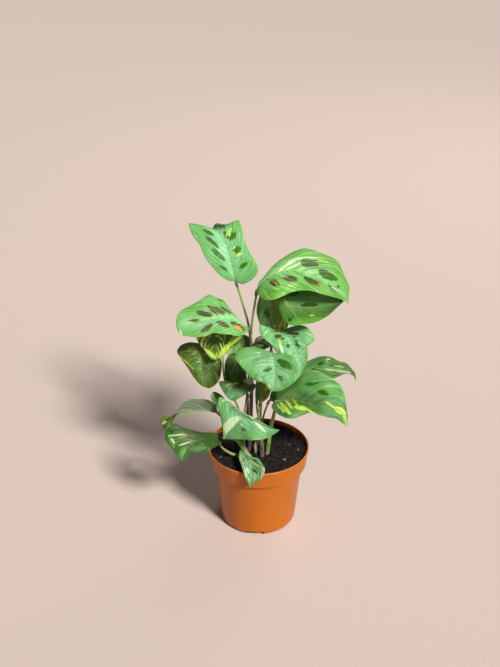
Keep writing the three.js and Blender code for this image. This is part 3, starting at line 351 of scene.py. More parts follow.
# Marks painted by place.  Each is a line in the view, px and py at both its
# ends, and half the mark's width there.  These have an edge: brown and green
# blotches, cream, half (cream that keeps to the left half), gap (no cream),
# yellow and orange.  These fade out: mustard; dark and light tones, which are
# partly darker and paler green and partly painted shade and painted light; and
# shade, which is painted shade.
MARKS = {
    "leaf_top_left": {
        "brown": [(206, 236.7, 212, 241.8, 1.5)],
        "green": [(203, 230, 213, 235, 1.3), (211, 240.9, 218, 246.9, 1.8),
            (212.7, 249.4, 223.8, 260.2, 2.1), (220.5, 266, 227.2, 270.6, 1.3),
            (225, 233, 229.5, 238.5, 2.2), (230, 239, 235, 233.5, 3), (235, 250, 239.5, 249, 3.4),
            (240.2, 267.5, 245.8, 263.5, 2.2)],
        "cream": [(238.8, 237.4, 239.6, 231.6, 0.5), (193.2, 232.4, 197.3, 239, 0.5)],
        "yellow": [(226.5, 236, 231, 228.8, 1.4), (229, 236.5, 231, 234, 0.8),
            (235.5, 256.2, 242.1, 253.4, 1.2), (233.4, 249, 235, 246.5, 1)],
        "shade": [(214, 226.5, 223, 226.5, 2.6)]},
    "leaf_top_right": {
        "brown": [(301.9, 264.3, 317.4, 265, 2.4), (320.2, 271.2, 333.5, 277.2, 3),
            (285, 278.4, 295.6, 280, 2.9), (305.4, 278.4, 319.5, 284.9, 2.5),
            (328.6, 285.2, 336.3, 291.9, 1.1), (270.4, 281.6, 278, 284, 2.9)],
        "green": [(302, 261.5, 315, 261.5, 1.6), (321, 273.5, 336, 279.5, 3.2),
            (338, 286, 338.8, 286.4, 1.6)],
        "cream": [(331, 286.5, 339, 292.5, 0.5), (277, 273.7, 286.5, 264.6, 0.9),
            (286.5, 264.6, 294.9, 259.8, 1.7), (294.9, 259.6, 303.3, 257.7, 1.1),
            (303.3, 257.5, 324.4, 258.4, 0.7), (286.5, 269.5, 300.5, 263.4, 0.5),
            (286.5, 284.9, 292.8, 286.3, 0.5)], "yellow": [(318, 260.3, 329, 263.2, 0.5)],
        "orange": [(317.4, 283.9, 320.9, 286, 0.6), (273.2, 280.4, 277.4, 284.9, 0.7)],
        "light": [(263, 293, 285, 292, 6)]},
    "leaf_under_top": {
        "brown": [(301.9, 305.8, 317.4, 304.4, 2.2)],
        "green": [(291.4, 294, 298, 293.3, 2.2), (288.6, 320.7, 292.8, 317.9, 1.9)],
        "yellow": [(309.6, 315.8, 313.9, 315.4, 0.8), (284.4, 298.2, 287.9, 306, 0.5)],
        "light": [(288, 324, 322, 320, 4.5), (292, 299, 330, 297, 7)]},
    "leaf_back_olive": {
        "brown": [(267.8, 309.5, 266.3, 317, 2.3)], "cream": [(266, 319.5, 269.5, 331, 2.8)],
        "mustard": [(272, 298, 277, 318, 2.8)], "dark": [(258, 303, 258.5, 322, 1.2)],
        "light": [(265, 318, 270.5, 329, 5), (263, 300, 263, 316, 2.4)]},
    "leaf_back_mustard": {
        "yellow": [(283, 314, 279, 330, 2.6), (286, 318, 284, 330, 1.4)],
        "mustard": [(284, 308, 281, 330, 8)]},
    "leaf_middle_wavy": {
        "brown": [(271.8, 331.6, 277.4, 331.6, 0.9), (274.6, 335.4, 283.7, 338.8, 1.8),
            (288.6, 331.9, 298.4, 334, 2.3), (292.8, 337.5, 295.6, 337.5, 0.6),
            (287.3, 344, 287.8, 347.2, 1.6)], "green": [(295.9, 341.5, 298.8, 348.2, 1.6)],
        "cream": [(279.8, 345, 283, 353, 1.2)],
        "yellow": [(279.5, 340.5, 280.3, 347, 1.3), (299.5, 355.4, 300.1, 356.4, 1)]},
    "leaf_front_centre": {
        "green": [(279.5, 361.5, 290, 367.5, 4.1), (263.4, 370.6, 270.6, 368.3, 2.4),
            (279, 376.2, 283.5, 379.8, 2.5)],
        "cream": [(262, 374.6, 262.6, 375.6, 0.8), (247, 352.5, 250.5, 350.5, 0.6),
            (258, 378, 262, 380, 0.6), (243, 356.5, 245.5, 354.5, 0.5), (252, 356, 256, 352.5, 0.4),
            (268, 384, 271, 388, 0.6), (258, 353, 262, 351.5, 0.4), (277, 385, 281, 387, 0.4),
            (255, 370, 257, 373, 0.4)], "dark": [(256.7, 359.7, 268.2, 356.8, 3), (293, 365, 295, 372, 3)]},
    "leaf_left_blotched": {
        "brown": [(188.6, 320.7, 199.8, 320.3, 1.5), (197.7, 312.6, 212.2, 314.7, 2.6),
            (208.5, 306.4, 223.4, 314.1, 2.5), (220.9, 306.6, 230.5, 313.7, 1.1),
            (202.3, 331.5, 211, 325.5, 2.6), (218, 322.2, 228, 326.7, 2.4), (231.7, 323, 242.9, 329, 2.5)],
        "green": [(217.2, 298.7, 223, 300.4, 1)], "cream": [(180, 330, 181.5, 335, 0.9)],
        "orange": [(233.8, 325.6, 241.7, 329.8, 1.5)]},
    "leaf_left_yellow": {
        "yellow": [(219.3, 356.3, 231.5, 343, 3), (230, 344.5, 239, 338.5, 4),
            (205, 349.1, 215.5, 358.2, 2), (234, 340, 238, 333, 3)], "dark": [(205, 332, 216, 346, 6)]},
    "leaf_left_inner": {
        "green": [(234, 344.5, 238, 344.5, 1.6)], "yellow": [(227.5, 353.5, 231, 351.5, 1.6)],
        "mustard": [(243, 338, 248, 341, 2.5)], "light": [(228, 354, 235, 351, 3)],
        "shade": [(245.5, 339, 248.5, 346, 3)]},
    "leaf_left_olive": {"yellow": [(179, 355, 193.5, 369, 0.4)], "mustard": [(180, 352, 190, 364, 0.9)]},
    "leaf_low_dark": {
        "cream": [(245.5, 380.8, 255.7, 382, 2.9), (226, 387, 228.5, 384.5, 1),
            (228.5, 390, 232, 386, 0.8)], "yellow": [(226.5, 385, 238, 383.2, 0.9)],
        "dark": [(240, 385, 250, 386, 4)], "light": [(229, 397, 240, 394.5, 4)]},
    "leaf_right_big": {
        "green": [(318.9, 391.2, 327.5, 394.1, 2.4), (306, 384.5, 318, 383, 1.6)],
        "yellow": [(280.6, 403, 290, 414, 2), (285.2, 399.9, 292, 408.5, 1.3),
            (277, 404.5, 284, 412.5, 0.9), (292, 398, 298, 406.5, 0.8), (295, 407, 307, 409.5, 2.2),
            (306, 409.6, 317, 414.6, 1.1), (325, 401, 335, 408, 1.1), (335, 408, 344.5, 413, 3.4),
            (343.5, 413, 346.5, 424.5, 1.8)],
        "mustard": [(289, 397, 294.5, 407.5, 2.2), (297, 407, 305, 411, 1.5)],
        "dark": [(290, 400, 318, 404, 6), (276, 396, 298, 382, 5), (300, 394, 312, 398, 5),
            (284, 414, 290, 416, 2.5)], "light": [(330, 386, 344, 400, 7)]},
    "leaf_right_pointed": {
        "green": [(318, 366, 323, 363, 2.4), (307, 374, 315, 368, 1.8), (330, 365.5, 337, 365, 1.4)],
        "cream": [(325, 369.2, 336, 370.6, 0.9), (335, 370.6, 350.5, 372.6, 1.4),
            (333, 365.5, 344, 367.3, 0.6), (326, 359.5, 330.5, 359, 0.8), (326, 361.6, 328, 361.2, 0.6)],
        "mustard": [(352.5, 372, 356, 379, 1.8)]},
    "leaf_front_cream": {
        "green": [(242.6, 430.2, 244.2, 430.8, 2.5)],
        "cream": [(250.9, 417.5, 265.3, 431.9, 1), (235, 408, 241.5, 412, 0.4),
            (241, 424, 243, 425.5, 0.8)],
        "half": [(238.5, 418.5, 229.5, 427, 5.8), (230, 421.5, 228, 432, 5.5)],
        "gap": [(233.2, 420.6, 234, 420.6, 2.2)], "yellow": [(233, 420.6, 234.2, 420.6, 2.3)],
        "dark": [(250.5, 421, 253, 426.5, 3.6), (232.7, 407, 242.3, 412.7, 2.2)]},
    "leaf_low_left": {
        "cream": [(169, 435.9, 185.8, 434.1, 0.8), (171.5, 438.6, 174.4, 443.3, 1.3),
            (174, 439.6, 188, 435, 0.3), (179, 445.3, 192.5, 441.2, 0.8)],
        "yellow": [(166, 427, 170, 423, 1.5)], "mustard": [(184, 434, 196, 437, 2)],
        "light": [(181, 458, 184, 453, 5), (168, 434, 173, 446, 2), (190, 450, 204, 448, 2)],
        "shade": [(198, 436, 218, 441, 7), (184, 430, 196, 442, 2.5)]},
    "leaf_curled_grey": {
        "cream": [(162, 424, 166, 421, 1.2)], "mustard": [(162, 420, 170, 418, 4)],
        "shade": [(208, 402, 217, 412, 5)]},
    "leaf_front_small": {
        "green": [(253.8, 460, 258, 463, 1.5), (253, 470, 257.5, 473, 1.4)],
        "cream": [(241.6, 461, 245.5, 472, 0.3), (245.5, 472, 249.6, 482.5, 0.4),
            (246.5, 467.5, 248.5, 473, 1.3), (250, 461.5, 252, 465, 0.5), (253, 476, 255.5, 478, 0.5)]},
    "leaf_middle_grey": {
        "cream": [(254, 340, 262, 338.5, 2.2), (256, 346, 263, 345.5, 1.6)],
        "light": [(254, 341, 262, 339, 6)]},
    "leaf_low_olive": {"cream": [(211.5, 394, 215, 396, 1)], "light": [(211, 393, 217, 397, 4)]},
    "leaf_small_oval": {"mustard": [(266, 384, 267, 400, 3.2)]},
}
EDGED = ("brown", "green", "cream", "half", "gap", "yellow", "orange")
# the dark and light marks are partly painted shade and painted light; the shade marks are painted shade
FADING = ("mustard", "dark", "light", "shade")
# The bark chips: where each is seen, its length, width, height and turn in degrees.
BARK_SEEN = [(284.4, 460, 4.2, 2.4, 1.2, 25), (220.5, 457.7, 3.6, 2.0, 1.0, -35),
             (298, 450, 3.2, 1.8, 1.0, 70), (289.5, 445, 2.8, 1.6, 0.9, -10)]
SLANT, BOW = 0.42, 1.15     # how far the side veins run forward, and their curve
VEINS = 11                  # side veins along a midrib
FAR = 9.0                   # distance given to a mark that is nowhere near, mm
LEAF_GLOSS, LEAF_GLOW = 0.42, 0.22   # a leaf's shine, and the share of light that it lets through


# ---------------------------------------------------------------- curves
def curve(points):
    """A smooth line through points, read by shares u of its length."""
    p = np.asarray(points, float)
    step = np.linalg.norm(np.diff(p, axis=0), axis=1)
    at = np.concatenate([[0], np.cumsum(step)])
    length, at = at[-1], at / at[-1]
    n = len(p)
    slope = np.diff(p, axis=0) / np.diff(at)[:, None]
    tan = np.empty_like(p)
    tan[0], tan[-1] = slope[0], slope[-1]
    for i in range(1, n - 1):
        w = (at[i + 1] - at[i]) / (at[i + 1] - at[i - 1])
        tan[i] = slope[i - 1] * w + slope[i] * (1 - w)
    if n > 2:
        tan[0] = 1.5 * tan[0] - 0.5 * tan[1]
        tan[-1] = 1.5 * tan[-1] - 0.5 * tan[-2]

    def read(u):
        u = np.clip(np.atleast_1d(u), 0, 1)
        k = np.clip(np.searchsorted(at, u) - 1, 0, n - 2)
        h = (at[k + 1] - at[k])[:, None]
        s = (u - at[k])[:, None] / h
        return ((2 * s**3 - 3 * s**2 + 1) * p[k] + (s**3 - 2 * s**2 + s) * h * tan[k]
                + (3 * s**2 - 2 * s**3) * p[k + 1] + (s**3 - s**2) * h * tan[k + 1])

    read.length = length
    return read


def curve_seen(points):
    """The smooth line through points given as they are seen."""
    return curve([seen(*p) for p in points])


def unit(v):
    return v / np.maximum(np.linalg.norm(v, axis=-1, keepdims=True), 1e-9)


def smooth(low, high, x):
    t = np.clip((x - low) / (high - low), 0, 1)
    return t * t * (3 - 2 * t)


def bell(x, spread):
    """1 at x = 0, fading out on both sides."""
    return np.exp(-(x / spread) ** 2)


def turns(sides):
    """The angles of the points of a ring."""
    return 2 * np.pi * np.arange(sides) / sides


def fractal(points, scale, seed, octaves=4):
    """Smooth random relief at points, about -1 to 1."""
    shift = Vector((17.1 * seed, -9.3 * seed, 4.7 * seed))
    return np.array([noise.fractal(Vector(p) * scale + shift, 1.0, 2.0, octaves) for p in points])


# ---------------------------------------------------------------- pieces
def linked(name, data):
    """A new object in the scene."""
    obj = bpy.data.objects.new(name, data)
    bpy.context.scene.collection.objects.link(obj)
    return obj


class Form:
    """The points, faces and values of a piece as it is gathered, in mm."""

    def __init__(self):
        self.parts, self.faces, self.slots = [], [], []
        self.count = 0

    def add(self, points, faces, slots=0, **values):
        points = np.asarray(points, float).reshape(-1, 3)
        self.parts.append((points, values))
        self.faces += [tuple(i + self.count for i in f) for f in faces]
        self.slots += list(np.broadcast_to(slots, len(faces)))
        self.count += len(points)

    def piece(self, name, materials, stands_for):
        """The finished object, which rides with the plant and stands for its solid."""
        points = np.clip(np.concatenate([p for p, _ in self.parts]) * MM, LOW, HIGH)
        mesh = bpy.data.meshes.new(name)
        mesh.from_pydata(points.tolist(), [], self.faces)
        for title in dict.fromkeys(title for _, values in self.parts for title in values):
            rows = [np.reshape(values.get(title, np.zeros_like(p)), (-1, 3)) for p, values in self.parts]
            layer = mesh.attributes.new(title, "FLOAT_VECTOR", "POINT")
            layer.data.foreach_set("vector", np.concatenate(rows).astype(np.float32).ravel())
        for m in materials:
            mesh.materials.append(m)
        mesh.polygons.foreach_set("material_index", np.array(self.slots, np.int32))
        mesh.polygons.foreach_set("use_smooth", np.ones(len(self.faces), bool))
        mesh.update()
        obj = linked(name, mesh)
        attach(obj, BODY)
        if stands_for:
            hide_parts(stands_for)
        return obj


def lattice(rows, cols, ring=False):
    """The quads of a grid of points, its columns closed into a ring or not."""
    faces = []
    for i in range(rows - 1):
        for j in range(cols if ring else cols - 1):
            a, b = i * cols + j, i * cols + (j + 1) % cols
            faces.append((a, b, b + cols, a + cols))
    return faces


def barrel(rings, ends):
    """The points and faces of rings of points, closed by a middle point at each end."""
    n, sides = rings.shape[:2]
    faces = lattice(n, sides, ring=True)
    first, last = n * sides, (n - 1) * sides
    for k in range(sides):
        m = (k + 1) % sides
        faces += [(first, m, k), (first + 1, last + k, last + m)]
    return np.concatenate([rings.reshape(-1, 3), ends]), faces


def tube(form, read, lo, hi, radius, sides, rings, slot=0, **values):
    """A round stem along a line, closed by domed ends; radius is a function of the share."""
    share = np.linspace(0, 1, rings)
    u = lo + (hi - lo) * share
    centre = read(u)
    ahead = unit(read(np.minimum(1, u + 1e-3)) - read(np.maximum(0, u - 1e-3)))
    side = np.empty_like(centre)
    s = np.array([1.0, 0.0, 0.0])
    for i, t in enumerate(ahead):
        s = s - s.dot(t) * t
        s /= np.linalg.norm(s)
        side[i] = s
    up = np.cross(ahead, side)
    r = np.array([radius(x) for x in share])
    turn = turns(sides)
    ring = np.cos(turn)[None, :, None] * side[:, None] + np.sin(turn)[None, :, None] * up[:, None]
    walls = centre[:, None] + r[:, None, None] * ring
    cap0 = centre[0] + 0.45 * r[0] * ring[0] - 0.35 * r[0] * ahead[0]
    cap1 = centre[-1] + 0.45 * r[-1] * ring[-1] + 0.35 * r[-1] * ahead[-1]
    ends = np.stack([centre[0] - 0.45 * r[0] * ahead[0], centre[-1] + 0.45 * r[-1] * ahead[-1]])
    points, faces = barrel(np.concatenate([cap0[None], walls, cap1[None]]), ends)
    along = np.concatenate([[share[0]], share, [share[-1]]])
    grain = np.zeros((rings + 2, sides, 3))
    grain[..., 0], grain[..., 1] = np.cos(turn), np.sin(turn)
    grain[..., 2] = (along * (hi - lo) * read.length)[:, None]
    grain = np.concatenate([grain.reshape(-1, 3), [[0, 0, 0], [0, 0, grain[-1, 0, 2]]]])
    share_of = np.concatenate([np.repeat(along, sides), [0, 1]])
    form.add(points, faces, slot, grain=grain, **{k: f(share_of) for k, f in values.items()})


# ---------------------------------------------------------------- materials
def rgb(r, g, b):
    """A colour as it looks on a screen, 0 to 255, as a linear one."""
    c = np.array([r, g, b]) / 255
    lin = np.where(c <= 0.04045, c / 12.92, ((c + 0.055) / 1.055) ** 2.4)
    return (*lin, 1.0)


class Signal:
    """A number that varies over a surface; arithmetic on it makes math nodes."""

    def __init__(self, tree, socket):
        self.tree, self.socket = tree, socket

    def math(self, operation, other=0.0):
        made = self.tree.node("Math", {0: self, 1: other}, operation=operation)
        return Signal(self.tree, made.outputs[0])

    def __add__(self, other):
        return self.math("ADD", other)

    def __sub__(self, other):
        return self.math("SUBTRACT", other)

    def __mul__(self, other):
        return self.math("MULTIPLY", other)

    def __truediv__(self, other):
        return self.math("DIVIDE", other)

    def __abs__(self):
        return self.math("ABSOLUTE")

    def step(self, low, high, at_low=0.0, at_high=1.0):
        """A smooth step, from at_low where the signal is low to at_high where it is high."""
        ends = {"From Min": low, "From Max": high, "To Min": at_low, "To Max": at_high}
        made = self.tree.node("MapRange", {"Value": self, **ends}, interpolation_type="SMOOTHSTEP")
        return Signal(self.tree, made.outputs["Result"])


class Tree:
    """Shorthand for a material's nodes."""

    def __init__(self, name):
        self.material = bpy.data.materials.new(name)
        self.material.use_nodes = True
        self.links = self.material.node_tree.links
        self.nodes = self.material.node_tree.nodes
        self.nodes.clear()

    def put(self, socket, value):
        if isinstance(value, Signal):
            value = value.socket
        if isinstance(value, bpy.types.NodeSocket):
            self.links.new(value, socket)
        else:
            socket.default_value = value

    def node(self, kind, inputs=None, **settings):
        made = self.nodes.new("ShaderNode" + kind)
        for key, value in settings.items():
            setattr(made, key, value)
        for key, value in (inputs or {}).items():
            self.put(made.inputs[key], value)
        return made

    def mix(self, share, a, b):
        return self.node("Mix", {0: share, 6: a, 7: b}, data_type="RGBA").outputs[2]

    def coats(self, base, *layers):
        """A colour with others laid over it in turn, each by its share."""
        for share, colour in layers:
            base = self.mix(share, base, colour)
        return base

    def split(self, vector):
        return [Signal(self, part) for part in self.node("SeparateXYZ", {0: vector}).outputs]

    def values(self, name):
        """The three values that a piece stores under a name."""
        return self.split(self.node("Attribute", attribute_name=name).outputs["Vector"])

    def point(self, x, y, z):
        return self.node("CombineXYZ", {0: x, 1: y, 2: z}).outputs[0]

    def place(self):
        return self.node("TexCoord").outputs["Object"]

    def noise(self, where, scale, detail=2.0, rough=0.5):
        made = self.node("TexNoise", {"Vector": where, "Scale": scale, "Detail": detail, "Roughness": rough})
        return Signal(self, made.outputs["Fac"])

    def bump(self, height, depth, strength):
        return self.node("Bump", {"Height": height, "Distance": depth, "Strength": strength}).outputs[0]

    def surface(self, colour, roughness, normal, specular):
        return self.node("BsdfPrincipled", {"Base Color": colour, "Roughness": roughness, "Normal": normal,
                                            "Specular IOR Level": specular}).outputs[0]

    def finish(self, shader):
        self.node("OutputMaterial", {"Surface": shader})
        return self.material

    def solid(self, colour, roughness, normal, specular=0.5):
        """The material of an opaque surface."""
        return self.finish(self.surface(colour, roughness, normal, specular))

    def leaflike(self, colour, through, roughness, normal):
        """The material of a thin living surface: part of the light passes through it."""
        behind = self.node("BsdfTranslucent", {"Color": through, "Normal": normal}).outputs[0]
        front = self.surface(colour, roughness, normal, LEAF_GLOSS)
        return self.finish(self.node("MixShader", {0: LEAF_GLOW, 1: front, 2: behind}).outputs[0])


def streaks_along_veins(t, s, v, off_rib, length, seed):
    """A maker of noise drawn out along the side veins, so wide and so long in mm."""
    across, along = s * length, v.math("SIGN") * off_rib

    def streaks(shift, width, long, detail=2.0):
        return t.noise(t.point(across / width, along / long, seed + shift), 1.0, detail)

    return streaks


def vein_lines(s, count):
    """1 on each side vein, 0 between."""
    return abs((s * count).math("FRACT") * 2.0 - 1.0)


def upper_face():
    t = Tree("leaf_upper")
    s, v, u = t.values("veins")
    blotch, cream, yellow = t.values("marks")
    brown, orange, tone_and_shade = t.values("tones")
    streaked, seed, off_rib = t.values("extra")
    fresh, shade, length = t.values("cast")
    stripes, flecks, mustard = t.values("flair")
    streaks = streaks_along_veins(t, s, v, off_rib, length, seed)
    fine, broad, hair = streaks(0, 2.3, 13), streaks(40, 6, 20, 1), streaks(80, 0.9, 8)
    spots, thin = streaks(120, 2, 5, 1), streaks(160, 1.5, 7)
    grain, cloud = t.noise(t.place(), 620, 3), t.noise(t.place(), 75)
    main, small = vein_lines(s, VEINS), vein_lines(s, VEINS * 4)
    side = abs(v)

    # a pale feathered zone along the midrib, then fresh green
    zone = (side + (broad - 0.5) * 1.1 - main * 0.14 + fine * 0.5).step(0.34, 0.84, 1, 0)
    outer = t.mix(fresh, t.mix(cloud, rgb(104, 184, 96), rgb(126, 204, 118)),
                  t.mix(cloud, rgb(104, 184, 44), rgb(136, 212, 78)))
    inner = t.mix(fresh, rgb(152, 222, 166), rgb(160, 226, 134))
    dim = t.mix(fresh, rgb(64, 140, 64), rgb(62, 136, 20))
    contrast = stripes * 0.60 + 0.14
    light = t.coats(t.mix(zone, outer, inner),
                    (fine.step(0.54, 0.68) * contrast, rgb(194, 240, 178)),
                    (fine.step(0.49, 0.36) * contrast, dim),
                    (broad.step(0.46, 0.34) * stripes * 0.7, dim))
    # the dark, olive kind, with yellow streaks; its darkness is partly painted shade
    deep_and_shaded = t.coats(t.mix(zone, rgb(40, 78, 12), rgb(56, 98, 24)),
                   (fine.step(0.50, 0.38, 0, 0.6), rgb(22, 44, 6)),
                   (cloud.step(0.46, 0.62) * streaked * 0.55, rgb(98, 98, 6)),
                   (thin.step(0.50, 0.64) * streaked,
                    t.mix(hair.step(0.42, 0.6), rgb(96, 112, 14), rgb(172, 196, 58))))
    # the veins and the mustard patches
    base = t.coats(t.mix(tone_and_shade, light, deep_and_shaded),
                   (hair.step(0.55, 0.75) * tone_and_shade.step(0.1, 0.7, 0.18, 0.04), rgb(206, 240, 190)),
                   (main.step(0.80, 1.0) * tone_and_shade.step(0.0, 0.7, 0.26, 0.05), rgb(196, 238, 186)),
                   (small.step(0.7, 1.0, 0, 0.06), rgb(196, 234, 186)),
                   (mustard * 0.8, t.mix(thin.step(0.44, 0.66), rgb(100, 94, 4), rgb(190, 184, 44))))

    # blotches with ragged ends along the veins, ringed by a fresher green; then
    # flecks and marks in lemon, ivory and orange
    ragged = (fine - 0.5) * 4.6 + ((spots - 0.5) * 3.0 + (hair - 0.5) * 2.0)
    near = blotch + ragged
    dark_green = t.mix(fine, rgb(22, 94, 2), rgb(62, 144, 10))
    dull_brown = t.mix(fine.step(0.40, 0.62), rgb(70, 72, 46), rgb(122, 112, 62))
    patch = t.mix(tone_and_shade * 0.75, t.mix(brown, dark_green, dull_brown), rgb(30, 36, 8))
    lemon = t.mix(fine.step(0.35, 0.65), rgb(186, 232, 52), rgb(236, 255, 134))
    ivory = t.mix(tone_and_shade * 0.55, t.mix(fine, rgb(216, 248, 192), rgb(248, 255, 226)), rgb(150, 164, 84))
    fleck = (spots - flecks.step(0, 1, 0.66, 0.55)).step(0, 0.05) * flecks.step(0, 0.25)
    base = t.coats(base,
                   (near.step(1.6, 0.2, 0, 0.42), rgb(78, 156, 34)),
                   (near.step(0.5, -0.3), patch),
                   (fleck * tone_and_shade.step(0.3, 0.6), lemon),
                   ((yellow + ragged * 0.5).step(0.5, -0.4), lemon),
                   (fleck * tone_and_shade.step(0.6, 0.3), ivory),
                   ((cream + ragged * 0.4).step(0.5, -0.4), ivory),
                   ((orange + ragged * 0.5).step(0.4, -0.4),
                    t.mix(fine, rgb(232, 110, 44), rgb(246, 206, 116))))

    # the midrib, the margin, painted shade and grain
    base = t.coats(base,
                   (off_rib.step(1.15, 0.45) * u.step(0, 1, 0.85, 0.3),
                    t.mix(tone_and_shade, rgb(158, 224, 104), rgb(126, 150, 50))),
                   (side.step(0.955, 1.0, 0, 0.35), rgb(176, 220, 120)),
                   # painted shade: dark green where the shade marks lie
                   (shade * 0.85, t.mix(fine, rgb(26, 54, 14), rgb(70, 104, 42))),
                   (grain.step(0.35, 0.75, 0, 0.14), rgb(54, 110, 48)))
    height = fine * 1.1 + grain * 0.22 - main.step(0.70, 1.0) * 0.6 - small.step(0.55, 1.0) * 0.25
    through = t.mix(0.35, base, rgb(150, 210, 30))
    return t.leaflike(base, through, grain.step(0.2, 0.8, 0.30, 0.44), t.bump(height, 0.0006, 0.8))


def under_face():
    t = Tree("leaf_under")
    s, v, _ = t.values("veins")
    blotch, cream, yellow = t.values("marks")
    _, _, tone_and_shade = t.values("tones")
    _, seed, off_rib = t.values("extra")
    _, shade, length = t.values("cast")
    streaks = streaks_along_veins(t, s, v, off_rib, length, seed)
    fine, broad = streaks(0, 2.3, 16), streaks(40, 7, 20, 1)
    grain, main = t.noise(t.place(), 620, 3), vein_lines(s, VEINS)
    base = t.coats(t.mix(tone_and_shade, rgb(150, 184, 144), rgb(132, 152, 118)),
                   (fine.step(0.50, 0.66, 0, 0.5), rgb(200, 216, 196)),
                   (fine.step(0.50, 0.36, 0, 0.32), rgb(84, 106, 62)),
                   (broad.step(0.5, 0.66, 0, 0.35), rgb(112, 130, 66)),
                   (blotch.step(1.6, -0.6, 0, 0.5), rgb(92, 92, 80)),
                   (cream.math("MINIMUM", yellow).step(1.2, -0.6, 0, 0.5), rgb(206, 214, 160)),
                   (main.step(0.8, 1.0, 0, 0.35), rgb(196, 212, 180)),
                   (off_rib.step(1.6, 0.6, 0, 0.8), rgb(168, 186, 120)),
                   # painted shade: dull green where the shade marks lie
                   (shade * 0.7, rgb(74, 90, 40)))
    height = main.step(0.7, 1.0) + fine + grain * 0.3
    through = t.mix(0.4, base, rgb(140, 190, 40))
    return t.leaflike(base, through, grain.step(0.2, 0.8, 0.42, 0.56), t.bump(height, 0.0005, 0.8))


def stem_skin():
    """Green to purple stems with fine lengthwise lines, pale where sheaths wrap them."""
    t = Tree("stem_skin")
    around_x, around_y, length = t.values("grain")
    purple, pale, dark = t.values("hue")
    lines = t.noise(t.point(around_x * 2.6, around_y * 2.6, length * 0.05), 1.6, 3)
    patches = t.noise(t.point(around_x, around_y, length * 0.11), 1.1)
    grain = t.noise(t.place(), 700)
    lined = lines.step(0.3, 0.7)
    green = t.mix(lined, rgb(84, 120, 36), rgb(158, 188, 98))
    red = t.mix(lined, rgb(40, 14, 36), rgb(124, 74, 112))
    sheath = t.mix(lined, rgb(150, 104, 98), rgb(222, 190, 168))
    base = t.coats(t.mix(purple + (patches - 0.5) * 0.9, green, red),
                   (pale * patches.step(0.25, 0.6, 0.55, 1.0), sheath),
                   (dark, rgb(52, 34, 38)),
                   (grain.step(0.4, 0.7, 0, 0.18), rgb(60, 60, 32)))
    bump = t.bump(lines + grain * 0.25, 0.0003, 0.6)
    return t.solid(base, lines.step(0.2, 0.8, 0.42, 0.55), bump, 0.4)


def pot_plastic():
    """Satin moulded plastic: fine grain, faint moulding rings, scuffs at the rim and foot."""
    t = Tree("pot_plastic")
    at = t.place()
    x, y, z = t.split(at)
    grain, cloud = t.noise(at, 1900), t.noise(at, 26, 3)
    rings = t.noise(t.point(0.0, 0.0, z * 900), 1.0)
    scuffs = t.noise(t.point(x * 90, y * 90, z * 420), 1.0, 4, 0.7)
    rim_and_foot = z.step(0.0968, 0.0998).math("MAXIMUM", z.step(0.0032, 0.0004))
    edges = rim_and_foot.math("MAXIMUM", abs(z - EDGE_Z * MM).step(0.0016, 0.0002))
    worn = edges * scuffs.step(0.48, 0.66)
    soiled = z.step(0.090, 0.098) * cloud.step(0.55, 0.75, 0, 0.25)
    base = t.coats(t.mix(cloud, rgb(174, 91, 11), rgb(186, 101, 17)),
                   (rings.step(0.35, 0.7, 0, 0.16), rgb(160, 81, 8)),
                   (worn * 0.45, rgb(216, 140, 72)),
                   (scuffs.step(0.68, 0.80, 0, 0.35), rgb(200, 116, 44)),
                   (soiled, rgb(120, 62, 30)))
    bump = t.bump(grain * 0.35 + rings * 0.8, 0.00012, 0.35)
    return t.solid(base, cloud.step(0.3, 0.7, 0.34, 0.44) + worn * 0.18, bump, 0.3)


def earth():
    t = Tree("potting_soil")
    at = t.place()
    clods, grit = t.noise(at, 260, 4, 0.65), t.noise(at, 1300, 3, 0.6)
    base = t.coats(t.mix(clods.step(0.40, 0.62), rgb(7, 5, 4), rgb(36, 28, 24)),
                   (grit.step(0.60, 0.72, 0, 0.75), rgb(86, 70, 58)),
                   (grit.step(0.46, 0.34, 0, 0.8), rgb(4, 3, 3)))
    return t.solid(base, grit.step(0.3, 0.7, 0.72, 0.95), t.bump(clods + grit * 0.6, 0.0009, 0.9), 0.25)


def fibre(name, dark, light):
    """Dry plant matter: fine grain between two colours, with darker spots."""
    t = Tree(name)
    at = t.place()
    lines, spots = t.noise(at, 420, 4, 0.6), t.noise(at, 105)
    base = t.coats(t.mix(lines.step(0.3, 0.7), dark, light), (spots.step(0.5, 0.75, 0, 0.5), rgb(58, 40, 28)))
    return t.solid(base, 0.85, t.bump(lines, 0.0006, 0.8), 0.2)


UPPER, UNDER, SKIN = upper_face(), under_face(), stem_skin()
PLASTIC, EARTH = pot_plastic(), earth()
FIBRE = fibre("dry_fibre", rgb(58, 44, 34), rgb(128, 104, 80))
BARK = fibre("bark_wood", rgb(92, 62, 38), rgb(164, 126, 84))


